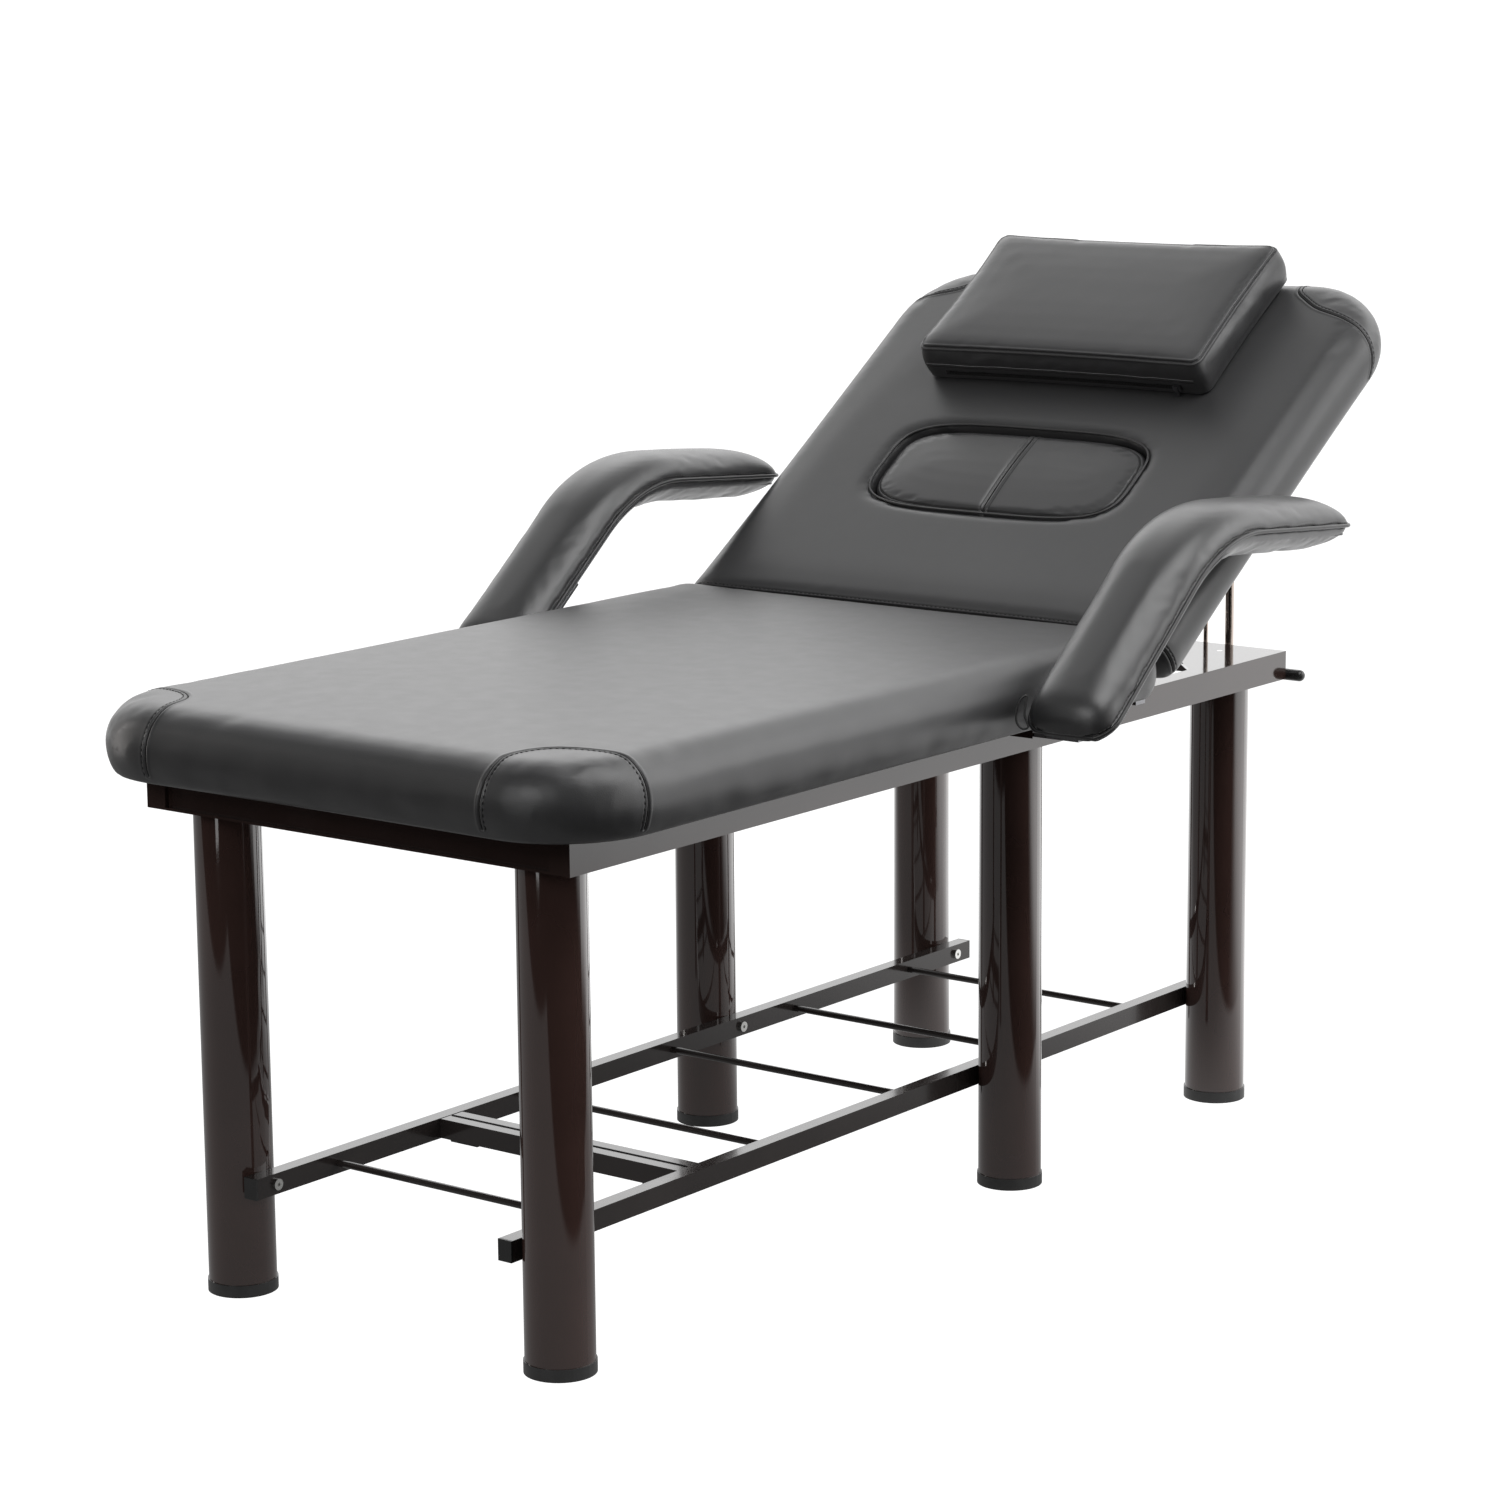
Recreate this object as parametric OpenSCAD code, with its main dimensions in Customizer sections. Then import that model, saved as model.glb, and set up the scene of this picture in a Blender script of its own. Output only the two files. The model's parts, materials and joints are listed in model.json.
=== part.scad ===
// Six-leg treatment table with a reclining back, armrests, pillow and face hole.
// X runs across the table, Y from foot to head, Z up from the floor. The origin is on the floor
// under the middle of the whole table. Heights and places along the table are first worked out
// from the middle pair of legs, and bed() then moves each piece to the shared origin.

/* [Legs] */
// Outer diameter of a leg tube
leg_d = 82; // [60:1:100]
// Wall of a leg tube
leg_wall = 2; // [1.5:0.5:4]
// Distance between the left and right leg centres
leg_gap_x = 503; // [440:1:560]
// Distance from the foot pair of legs to the middle pair
leg_gap_foot = 906; // [700:1:1000]
// Distance from the middle pair of legs to the head pair
leg_gap_head = 510; // [480:1:600]
// Height of the top of the frame above the floor
frame_h = 633; // [560:1:700]
// Height of a foot cap
cap_h = 15; // [10:1:30]
// Thickness of a foot cap's floor
cap_floor = 3; // [2:0.5:6]
// Wall of a foot cap round the leg
cap_wall = 1.2; // [1:0.1:3]

/* [Frame] */
// Height of a side rail tube
rail_h = 39; // [30:1:50]
// Width of a side rail tube
rail_w = 30; // [20:1:40]
// Wall of the frame tubes
rail_wall = 2; // [1.5:0.5:3]
// Gap between a leg and the side rail beside it
leg_rail_gap = 4.5; // [2:0.5:15]
// How far the frame reaches past the foot pair of legs
frame_over_foot = 57; // [45:1:90]
// How far the frame reaches past the head pair of legs
frame_over_head = 50; // [45:1:60]
// Thickness of the plates on top of the legs
plate_t = 4; // [3:0.5:6]
// Length of a corner plate along the side rail
corner_plate_y = 202; // [150:1:230]
// Length of a corner plate along the cross rail
corner_plate_x = 183; // [140:1:200]
// How far a middle plate reaches past the leg's inner side
middle_plate_run = 12; // [5:1:30]
// Distance of the middle cross rail from the middle legs
cross_rail_gap = 14; // [8:1:40]

/* [Shelf] */
// Height of the shelf rails' centre above the floor
shelf_z = 141; // [100:1:250]
// Height of a shelf rail
shelf_rail_h = 26; // [20:1:35]
// Width of a shelf rail
shelf_rail_w = 20; // [15:1:25]
// How far a shelf rail reaches past the foot legs' centres
shelf_over_foot = 31; // [20:1:50]
// How far a shelf rail reaches past the head legs' centres
shelf_over_head = 33; // [20:1:50]
// Diameter of a shelf rod
rod_d = 9; // [6:0.5:14]
// Shank diameter of a shelf bolt
bolt_d = 8; // [6:1:10]

/* [Seat] */
// Width of the seat cushion
seat_w = 804; // [700:1:900]
// Distance the seat cushion reaches past the foot pair of legs
seat_over_foot = 128; // [90:1:160]
// Gap along the table between the middle legs' centres and the seat cushion's rear end
seat_rear = 133; // [110:1:133]
// Height of the top of the seat cushion above the frame
seat_rise = 95; // [80:1:130]
// Thickness of the seat and back boards
board_t = 15; // [12:0.5:17]
// Radius of the seat's foot corners in plan
seat_corner_r = 130; // [80:1:160]

/* [Back] */
// Angle of the back above level, as it stands in the rest position
back_angle = 34.3; // [20:0.1:34.3]
// Width of the back cushion
back_w = 796; // [700:1:900]
// Length of the back cushion
back_len = 753; // [700:1:800]
// Thickness of the back cushion
back_t = 77; // [60:1:78]
// Radius of the back's head corners in plan
back_corner_r = 135; // [80:1:160]
// Width of the face hole
hole_w = 402; // [300:1:420]
// Length of the face hole along the back
hole_len = 174; // [140:1:200]
// Distance from the back's lower end to the face hole's centre
hole_from_end = 293; // [260:1:330]

/* [Pillow] */
// Width of the pillow
pillow_w = 462; // [300:1:520]
// Length of the pillow along the back
pillow_len = 256; // [200:1:280]
// Thickness of the pillow
pillow_t = 60; // [40:1:90]
// Distance from the back's lower end to the pillow's near edge
pillow_from_end = 470; // [440:1:480]

/* [Armrests] */
// Width of an armrest pad
arm_w = 125; // [90:1:140]
// Height of an armrest pad's crown
arm_crown = 36; // [20:1:50]
// Slope of the lower part of an armrest
arm_slope = 39.5; // [35:0.5:45]
// Droop of the upper part of an armrest towards the head end
arm_droop = 4.5; // [2:0.5:8]
// Inner radius of the armrest's bend, at the pad's lower face
arm_bend_r = 220; // [150:1:260]
// Length of the straight sloping part
arm_low_len = 257; // [240:1:300]
// Length of the straight upper part
arm_top_len = 241; // [180:1:280]
// Thickness of the bent board under the pad
arm_board_t = 12; // [9:0.5:15]
// Thickness of the soft pad under the upper part
arm_under_t = 18; // [8:1:30]

/* [Stay] */
// Diameter of the stay's tube
stay_tube_d = 20; // [18:1:22]
// Diameter of the stay's rod
stay_rod_d = 12; // [8:0.5:13]
// Diameter of the thin guide rod beside the stay
guide_rod_d = 6.5; // [5:0.5:8]
// Distance of the stay from the table's centre line
stay_x = 229; // [225:1:235]
// Height of the stay's lower pin above the floor
stay_pin_z = 250; // [240:1:255]
// Distance of the stay's top pin below the underside of the back's board
stay_drop = 18.6; // [17:0.1:24]

/* [Lever] */
// Diameter of the release lever's grip
lever_d = 16; // [12:1:18]
// Length of the release lever from its pin to its tip
lever_len = 95; // [90:1:130]

/* [Hidden] */

// Overrun of a cut past the solid that it cuts
cut = 1;
// Clearance of a pin that turns in its bore, on the radius
run_gap = 0.08;
// Clearance between parts that sit close without touching
sit_gap = 0.3;
// Facets on a full circle
round_n = 64;

// Leg places, from the middle pair
leg_r = leg_d / 2;
leg_x = leg_gap_x / 2;
foot_y = -leg_gap_foot;
head_y = leg_gap_head;
leg_rows = [foot_y, 0, head_y];
leg_top = frame_h - plate_t;

// Frame places
rail_in = leg_x + leg_r + leg_rail_gap;
rail_out = rail_in + rail_w;
frame_y0 = foot_y - frame_over_foot;
frame_y1 = head_y + frame_over_head;
rail_bottom = frame_h - rail_h;
cross_h = rail_h - plate_t;
foot_lip = 6;
foot_lip_t = 3;
cross_y = leg_r + cross_rail_gap;
plate_in = leg_x - leg_r - middle_plate_run;
middle_plate_over = 4;
screw_d = 8;
screw_past = 7;
screw_nut_d = 15;
leg_disc_t = 4;
rail_cap_t = 3;

// Shelf places
shelf_out = leg_x - leg_r;
shelf_in = shelf_out - shelf_rail_w;
shelf_y0 = foot_y - shelf_over_foot;
shelf_y1 = head_y + shelf_over_head;
shelf_len = shelf_y1 - shelf_y0;
rod_shares = [0.094, 0.340, 0.532, 0.715, 0.899];
crossbar_share = 0.232;
crossbar_w = 20;
crossbar_h = 25;
spacer_l = 44;
spacer_w = 34;
spacer_t = 3;
spacer_from_rail = 14;
plug_t = 3;
plug_deep = 8;
bolt_head_d = 14;
bolt_head_h = 4.5;
socket_d = 5;
socket_deep = 2.5;
bolt_past_wall = 8;
nut_d = 14;
nut_t = 6;
leg_bore_r = leg_r - leg_wall;
nut_seat = leg_bore_r - sqrt(pow(leg_bore_r, 2) - pow(nut_d / 2, 2)) + sit_gap;

// Seat and its board
board_inset = 47;
board_r = 84;
soft_lift = 4;
seat_y0 = foot_y - seat_over_foot;
seat_top = frame_h + seat_rise;
seat_low_inset = 18;
seat_high_inset = 47;
rear_inset_share = 0.64;
seat_rear_r = 26;
crown_h = 3;
side_draw = 3;
bulge_share = 0.4;

// Back: its own plane lies level at the hinge, and the hinge turns it up by back_angle
hinge_over_frame = 10;
hinge_past_seat = 27;
hinge_z = frame_h + hinge_over_frame;
hinge_y = seat_rear + hinge_past_seat;
back_over_hinge = 5;
back_top = seat_top - hinge_z;
back_low = back_top - back_t;
back_end = back_over_hinge + back_len;
back_low_inset = 20;
back_high_inset = 49;
back_lower_r = 26;
back_board_rest_gap = 0.5;
back_board_low = frame_h + back_board_rest_gap - hinge_z;
back_board_end_gap = 34;
back_board_inset = 42;
hole_y = back_over_hinge + hole_from_end;
hole_power = 3.4;
hole_round = 7;
ledge = 20;

// Face plug
plug_gap = 2.5;
plug_sunk = 9;
plug_base_t = 9;
plug_round = 14;

// Pillow
pillow_low = back_top + sit_gap;
pillow_y0 = back_over_hinge + pillow_from_end;
pillow_r = 14;
pillow_edge = 6;
pillow_crown = 5;
zip_h_share = 0.27;
zip_w = 9;
zip_t = 1.2;
zip_end_gap = 22;
slider_l = 12;
slider_h = 8;
slider_t = 3.2;
tab_l = 15;
tab_w = 5;
tab_t = 1.4;

// Armrest places
arm_gap = 3;
arm_in = max(seat_w, back_w) / 2 + arm_gap;
arm_mid = arm_in + arm_w / 2;
arm_y0 = -205;
arm_over_frame = 14;
arm_z0 = frame_h + arm_over_frame;
arm_turn = arm_slope + arm_droop;
arm_arc_len = arm_bend_r * arm_turn * PI / 180;
arm_len = arm_low_len + arm_arc_len + arm_top_len;
arm_front_r = 45;
arm_rear_r = 34;
arm_rear_taper = 90;
arm_board_inset = 7;
arm_side_n = 8;

// Stay places
stay_rail_gap = 2;
stay_pin_y = frame_y1 + stay_tube_d / 2 + stay_rail_gap;
stay_top_b = back_board_low - stay_drop;
stay_top_z = hinge_z + (stay_top_b + (stay_pin_y - hinge_y) * sin(back_angle)) / cos(back_angle);
stay_top_a = (stay_pin_y - hinge_y) * cos(back_angle) + (stay_top_z - hinge_z) * sin(back_angle);
stay_len = stay_top_z - stay_pin_z;
stay_flat_len = norm([hinge_y + stay_top_a - stay_pin_y, hinge_z + stay_top_b - stay_pin_z]);
stay_eye_r = 8;
stay_eye_w = 12;
stay_pin_d = 8;
stay_ear_t = 4;
stay_ear_gap = 1;
stay_ear_r = 13;
stay_floor = 12;
stay_rod_end_gap = 14;
stay_rod_low = stay_pin_z + stay_floor + stay_rod_end_gap + stay_len - stay_flat_len;
piston_h = 8;
guide_off = 38;
guide_eye_h = 10;
guide_past = 23;
guide_bridge_h = 8;
bridge_gap = 2;
stay_close_gap = 10;
bridge_drop = stay_ear_r + bridge_gap;
stay_tube_len = stay_flat_len - bridge_drop - guide_bridge_h - stay_close_gap;
guide_low = stay_pin_z + stay_tube_len - guide_eye_h - guide_past;
guide_eye_wall = 3;
guide_arm_h = 8;

// Lever places
boss_r = 10;
boss_t = 4;
lever_eye_r = 8;
lever_eye_w = 10;
lever_stay_gap = 9;
lever_rise = 4.7;
lever_x = stay_x + stay_tube_d / 2 + lever_eye_r + lever_stay_gap;
lever_y = frame_y1 + boss_t + sit_gap + lever_eye_w / 2;
lever_z = rail_bottom + lever_rise;
lever_core_d = 10;
grip_len = 58;
lever_pin_d = 5;
pin_head_t = 1.5;

// Steps along the corners, sides, edges and crown of a cushion
corner_n = 7;
side_n = 9;
low_n = 3;
high_n = 5;
crown_n = 3;

// Length of the table in the rest position, for the origin
back_edge = side_profile(back_low + sit_gap, back_top - crown_h, back_low_inset, back_high_inset);
back_far = hinge_y + max([for (p = back_edge) (back_end - p[0]) * cos(back_angle) - p[1] * sin(back_angle)]);
mid_y = (seat_y0 + back_far) / 2;

steel_black = [0.07, 0.06, 0.06];
steel_grey = [0.35, 0.36, 0.37];
steel_bright = [0.75, 0.76, 0.78];
plastic_black = [0.05, 0.05, 0.05];
leather_black = [0.16, 0.16, 0.17];
wood = [0.72, 0.60, 0.43];

module bed() { translate([0, -mid_y, 0]) children(); }
module on_back() { bed() translate([0, hinge_y, hinge_z]) rotate([back_angle, 0, 0]) children(); }
module along_x(h) { rotate([90, 0, 90]) linear_extrude(h, center = true) children(); }
module pin_x(r, h) { rotate([0, 90, 0]) cylinder(r = r, h = h, center = true, $fn = round_n); }
module pin_y(r, h) { rotate([90, 0, 0]) cylinder(r = r, h = h, center = true, $fn = round_n); }

// Outline of a cushion in plan: a rectangle with round corners whose sides draw in a little
function arc_points(cx, cy, r, a0, n) =
    [for (k = [0:n]) let (a = a0 + 90 * k / n) [cx + r * cos(a), cy + r * sin(a)]];
function side_points(p, q, draw, n_side) =
    [for (k = [1:n_side - 1]) let (t = k / n_side, d = q - p, n = [-d.y, d.x] / norm(d))
        p + d * t + n * draw * 4 * t * (1 - t)];
function outline(hx, y0, y1, r0, r1, draw = 0, cn = corner_n, sn = side_n) = concat(
    arc_points(hx - r1, y1 - r1, r1, 0, cn),
    side_points([hx - r1, y1], [-hx + r1, y1], draw, sn),
    arc_points(-hx + r1, y1 - r1, r1, 90, cn),
    side_points([-hx, y1 - r1], [-hx, y0 + r0], draw, sn),
    arc_points(-hx + r0, y0 + r0, r0, 180, cn),
    side_points([-hx + r0, y0], [hx - r0, y0], draw, sn),
    arc_points(hx - r0, y0 + r0, r0, 270, cn),
    side_points([hx, y0 + r0], [hx, y1 - r1], draw, sn));

// Side of a cushion from its lower edge over its fullest line to its upper edge: [inset, height]
function side_profile(z0, z1, low, high) = let (zm = z0 + (z1 - z0) * bulge_share) concat(
    [for (k = [-low_n:-1]) let (a = 90 * k / low_n) [low * (1 - cos(a)), zm + (zm - z0) * sin(a)]],
    [for (k = [0:high_n]) let (a = 90 * k / high_n) [high * (1 - cos(a)), zm + (z1 - zm) * sin(a)]]);

function lift(points, z) = [for (p = points) [p.x, p.y, z]];
function mean_point(ring) = [for (j = [0:2]) (max([for (p = ring) p[j]]) + min([for (p = ring) p[j]])) / 2];
function wall_faces(rings, n, last) = [
    for (i = [0:last - 1], k = [0:n - 1])
        let (j = (i + 1) % rings, m = (k + 1) % n,
            a = i * n + k, b = i * n + m, c = j * n + m, d = j * n + k)
            each [[a, d, c], [a, c, b]]];

// Closed skin over rings of points, from a flat low end to a high end
module skin(rings) {
    n = len(rings[0]);
    m = len(rings);
    low = m * n;
    points = concat([for (r = rings) each r], [mean_point(rings[0]), mean_point(rings[m - 1])]);
    caps = [for (k = [0:n - 1]) let (q = (k + 1) % n)
        each [[low, k, q], [low + 1, (m - 1) * n + q, (m - 1) * n + k]]];
    polyhedron(points, concat(wall_faces(m, n, m - 1), caps), convexity = 6);
}

// Closed skin over rings of points whose last ring meets the first, round a hole
module ring_skin(rings) {
    n = len(rings[0]);
    polyhedron([for (r = rings) each r], wall_faces(len(rings), n, len(rings)), convexity = 8);
}

module leg(side, row) {
    bed() color(steel_black) difference() {
        translate([side * leg_x, row, cap_floor])
            cylinder(r = leg_r, h = leg_top - cap_floor, $fn = round_n);
        translate([side * leg_x, row, cap_floor - cut])
            cylinder(r = leg_r - leg_wall, h = leg_top - cap_floor - leg_disc_t + cut, $fn = round_n);
        translate([side * leg_x, row, leg_top - leg_disc_t - cut])
            cylinder(d = screw_d, h = leg_disc_t + 2 * cut, $fn = round_n);
        translate([side * (shelf_out + leg_wall), row, shelf_z])
            pin_x(bolt_d / 2 + run_gap, 4 * leg_wall);
    }
}

module foot_caps() {
    bed() color(plastic_black) for (side = [-1, 1], row = leg_rows)
        translate([side * leg_x, row, 0]) difference() {
            cylinder(r = leg_r + cap_wall + sit_gap, h = cap_h, $fn = round_n);
            translate([0, 0, cap_floor]) cylinder(r = leg_r + run_gap, h = cap_h, $fn = round_n);
        }
}

module box_tube(size, axis, wall) {
    inner = [for (k = [0:2]) k == axis ? size[k] + 2 * cut : size[k] - 2 * wall];
    difference() {
        cube(size, center = true);
        cube(inner, center = true);
    }
}

module side_rail(side) {
    length = frame_y1 - frame_y0;
    bed() color(steel_black)
        translate([side * (rail_in + rail_w / 2), (frame_y0 + frame_y1) / 2, frame_h - rail_h / 2])
            box_tube([rail_w, length, rail_h], 1, rail_wall);
}

module foot_rail() {
    web = frame_y0 + foot_lip;
    top = leg_top;
    profile = [
        [frame_y0, rail_bottom], [web + foot_lip_t, rail_bottom],
        [web + foot_lip_t, top - foot_lip_t], [foot_y - leg_r - sit_gap, top - foot_lip_t],
        [foot_y - leg_r - sit_gap, top], [web, top],
        [web, rail_bottom + foot_lip_t], [frame_y0, rail_bottom + foot_lip_t]];
    bed() color(steel_black) along_x(2 * rail_in) polygon(profile);
}

module cross_rail(y0) {
    bed() color(steel_black) difference() {
        translate([0, y0 + rail_w / 2, leg_top - cross_h / 2])
            box_tube([2 * rail_in, rail_w, cross_h], 0, rail_wall);
        for (side = [-1, 1]) translate([side * leg_x, head_y, 0])
            cylinder(r = leg_r + run_gap, h = leg_top + cut, $fn = round_n);
    }
}

module corner_plate(side, y_end, toward) {
    difference() {
        translate([0, 0, leg_top]) linear_extrude(plate_t)
            polygon([
                [side * rail_in, y_end], [side * (rail_in - corner_plate_x), y_end],
                [side * rail_in, y_end - toward * corner_plate_y]]);
        translate([side * leg_x, y_end - toward * leg_from_end(toward), leg_top - cut])
            cylinder(d = screw_d, h = plate_t + 2 * cut, $fn = round_n);
    }
}
function leg_from_end(toward) = toward > 0 ? frame_over_head : frame_over_foot - foot_lip;

module corner_plates() {
    bed() color(steel_black) for (side = [-1, 1]) {
        corner_plate(side, frame_y1, 1);
        corner_plate(side, frame_y0 + foot_lip, -1);
        for (y = [frame_y0 + rail_cap_t / 2, frame_y1 - rail_cap_t / 2])
            translate([side * (rail_in + rail_w / 2), y, frame_h - rail_h / 2])
                cube([rail_w - 2 * rail_wall, rail_cap_t, rail_h - 2 * rail_wall], center = true);
    }
}

module middle_plates() {
    y0 = -leg_r - middle_plate_over;
    y1 = cross_y + rail_w;
    bed() color(steel_black) for (side = [-1, 1]) difference() {
        translate([side * (rail_in + plate_in) / 2, (y0 + y1) / 2, leg_top + plate_t / 2])
            cube([rail_in - plate_in, y1 - y0, plate_t], center = true);
        translate([side * leg_x, 0, leg_top - cut])
            cylinder(d = screw_d, h = plate_t + 2 * cut, $fn = round_n);
    }
}

module plate_screws() {
    bed() color(steel_bright) for (side = [-1, 1], row = leg_rows)
        translate([side * leg_x, row, leg_top - leg_disc_t - screw_past]) {
            cylinder(r = screw_d / 2 - run_gap, h = screw_past + leg_disc_t + plate_t, $fn = round_n);
            cylinder(d = screw_nut_d, h = screw_past - run_gap, $fn = 6);
        }
}
module shelf_rail(side) {
    bed() color(steel_black) difference() {
        translate([side * (shelf_in + shelf_rail_w / 2), (shelf_y0 + shelf_y1) / 2, shelf_z])
            box_tube([shelf_rail_w, shelf_len, shelf_rail_h], 1, rail_wall);
        for (row = leg_rows) translate([side * (shelf_in + shelf_rail_w / 2), row, shelf_z])
            pin_x(bolt_d / 2 + run_gap, shelf_rail_w + 2 * cut);
    }
}

module shelf_end_plugs() {
    bed() color(plastic_black) for (side = [-1, 1], end = [-1, 1])
        translate([side * (shelf_in + shelf_rail_w / 2), end > 0 ? shelf_y1 : shelf_y0, shelf_z]) {
            translate([0, end * plug_t / 2, 0]) cube([shelf_rail_w, plug_t, shelf_rail_h], center = true);
            translate([0, -end * plug_deep / 2, 0]) cube([
                shelf_rail_w - 2 * rail_wall - 2 * run_gap, plug_deep,
                shelf_rail_h - 2 * rail_wall - 2 * run_gap], center = true);
        }
}

module shelf_rods() {
    bed() color(steel_black) for (share = rod_shares)
        translate([0, shelf_y0 + share * shelf_len, shelf_z]) pin_x(rod_d / 2, 2 * shelf_in);
}

module shelf_crossbar() {
    y = shelf_y0 + crossbar_share * shelf_len;
    bed() color(steel_black) for (end = [-1, 1])
        translate([0, y + end * crossbar_w / 2, shelf_z])
            box_tube([2 * shelf_in, crossbar_w, crossbar_h], 0, rail_wall);
}

module shelf_spacers() {
    y = shelf_y0 + crossbar_share * shelf_len;
    x = shelf_in - spacer_from_rail - spacer_l / 2;
    bed() color(plastic_black) for (side = [-1, 1])
        translate([side * x, y, shelf_z - crossbar_h / 2 - spacer_t / 2])
            cube([spacer_l, spacer_w, spacer_t], center = true);
}

module shelf_bolts() {
    shank = shelf_rail_w + leg_wall + bolt_past_wall;
    bed() color(steel_bright) for (side = [-1, 1], row = leg_rows)
        translate([side * shelf_in, row, shelf_z]) difference() {
            union() {
                translate([side * shank / 2, 0, 0]) pin_x(bolt_d / 2, shank);
                translate([-side * bolt_head_h / 2, 0, 0]) pin_x(bolt_head_d / 2, bolt_head_h);
            }
            translate([-side * bolt_head_h, 0, 0]) rotate([0, 90, 0])
                cylinder(d = socket_d, h = 2 * socket_deep, center = true, $fn = 6);
        }
}

module shelf_nuts() {
    bed() color(steel_bright) for (side = [-1, 1], row = leg_rows)
        translate([side * (shelf_out + nut_seat + leg_wall + nut_t / 2), row, shelf_z]) difference() {
            rotate([0, 90, 0]) cylinder(d = nut_d, h = nut_t, center = true, $fn = 6);
            pin_x(bolt_d / 2 + run_gap, nut_t + 2 * cut);
        }
}

module seat_board() {
    bed() color(wood) translate([0, 0, frame_h]) linear_extrude(board_t)
        polygon(outline(seat_w / 2 - board_inset, seat_y0 + board_inset,
            seat_rear - board_inset * rear_inset_share, board_r, seat_rear_r));
}

module seat_cushion() {
    z0 = frame_h + soft_lift;
    z1 = seat_top - crown_h;
    pocket = board_inset - sit_gap;
    function seat_ring(i, z, draw) = lift(outline(seat_w / 2 - i, seat_y0 + i,
        seat_rear - i * rear_inset_share,
        max(seat_corner_r - i, board_r), max(seat_rear_r - i * rear_inset_share, seat_rear_r / 3), draw), z);
    rings = concat(
        [seat_ring(pocket, frame_h + board_t + sit_gap, 0), seat_ring(pocket, z0, 0)],
        [for (p = side_profile(z0, z1, seat_low_inset, seat_high_inset)) seat_ring(p[0], p[1], side_draw)],
        [for (k = [1:crown_n])
            seat_ring(seat_high_inset + k * crown_step, z1 + crown_h * crown_shares[k], 0)]);
    bed() color(leather_black) skin(rings);
}
crown_step = 60;
crown_shares = [0, 0.6, 0.9, 1];

// The back is drawn lying level, from its hinge line, and on_back() raises it
function hole_point(p, grow) = let (d = [p.x, p.y - hole_y], a = atan2(d.y, d.x),
    r = 1 / pow(pow(abs(cos(a)) / (hole_w / 2 + grow), hole_power)
        + pow(abs(sin(a)) / (hole_len / 2 + grow), hole_power), 1 / hole_power))
    [r * cos(a), hole_y + r * sin(a)];
function back_outline(i, draw) = outline(back_w / 2 - i, back_over_hinge + i * rear_inset_share,
    back_end - i, max(back_lower_r - i * rear_inset_share, seat_rear_r),
    max(back_corner_r - i, board_r), draw);
function hole_outline(grow) = [for (p = back_outline(0, 0)) hole_point(p, grow)];

module back_board() {
    i = back_board_inset;
    on_back() color(wood) translate([0, 0, back_board_low]) linear_extrude(back_low - back_board_low)
        difference() {
            polygon(outline(back_w / 2 - i, back_over_hinge + back_board_end_gap,
                back_end - i, back_lower_r, board_r + sit_gap));
            polygon(hole_outline(-ledge));
        }
}

module back_cushion() {
    z0 = back_low + sit_gap;
    z1 = back_top - crown_h;
    outer = back_outline(back_high_inset, 0);
    base = back_outline(0, 0);
    function mix(t, z) = [for (k = [0:len(base) - 1])
        let (p = outer[k], q = hole_point(base[k], hole_round), m = p + (q - p) * t) [m.x, m.y, z]];
    function hole_ring(grow, z) = [for (p = base) let (q = hole_point(p, grow)) [q.x, q.y, z]];
    rings = concat(
        [hole_ring(0, z0)],
        [for (p = side_profile(z0, z1, back_low_inset, back_high_inset))
            lift(back_outline(p[0], side_draw), p[1])],
        [for (t = [0.3, 0.65]) mix(t, z1 + crown_h)],
        [hole_ring(hole_round, z1 + crown_h), hole_ring(hole_round / 4, z1 + crown_h - hole_round / 3),
            hole_ring(0, z1 - hole_round)]);
    on_back() color(leather_black) ring_skin(rings);
}

module hinge_brackets() {
    bed() color(steel_grey) for (side = [-1, 1])
        translate([side * (rail_in - bracket_t / 2), hinge_y, 0]) difference() {
            union() {
                translate([0, 0, hinge_z]) pin_x(bracket_r, bracket_t);
                translate([0, 0, (hinge_z + rail_bottom + rail_wall) / 2])
                    cube([bracket_t, 2 * bracket_r, hinge_z - rail_bottom - rail_wall], center = true);
            }
            translate([0, 0, hinge_z]) pin_x(hinge_pin_r + run_gap, bracket_t + 2 * cut);
        }
    bed() color(steel_grey) for (side = [-1, 1])
        translate([side * (rail_out + tab_over_rail / 2), hinge_y + tab_past_hinge, hinge_z - tab_drop])
            cube([tab_over_rail, tab_len, tab_h], center = true);
}
bracket_t = 5;
tab_len = 22;
tab_h = 13;
tab_over_rail = 3;
tab_past_hinge = 24;
tab_drop = 21.5;
bracket_r = 12;
hinge_pin_r = 5;
hinge_side_gap = 0.6;
hinge_arm_t = 6;
pin_end = 3;

module hinge_pins() {
    length = bracket_t + hinge_side_gap + hinge_arm_t + pin_end;
    bed() color(steel_bright) for (side = [-1, 1])
        translate([side * (rail_in - length / 2), hinge_y, hinge_z]) {
            pin_x(hinge_pin_r, length);
            translate([-side * (length - pin_end + hinge_side_gap) / 2, 0, 0])
                pin_x(1.5 * hinge_pin_r, pin_end - hinge_side_gap);
        }
}

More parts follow.
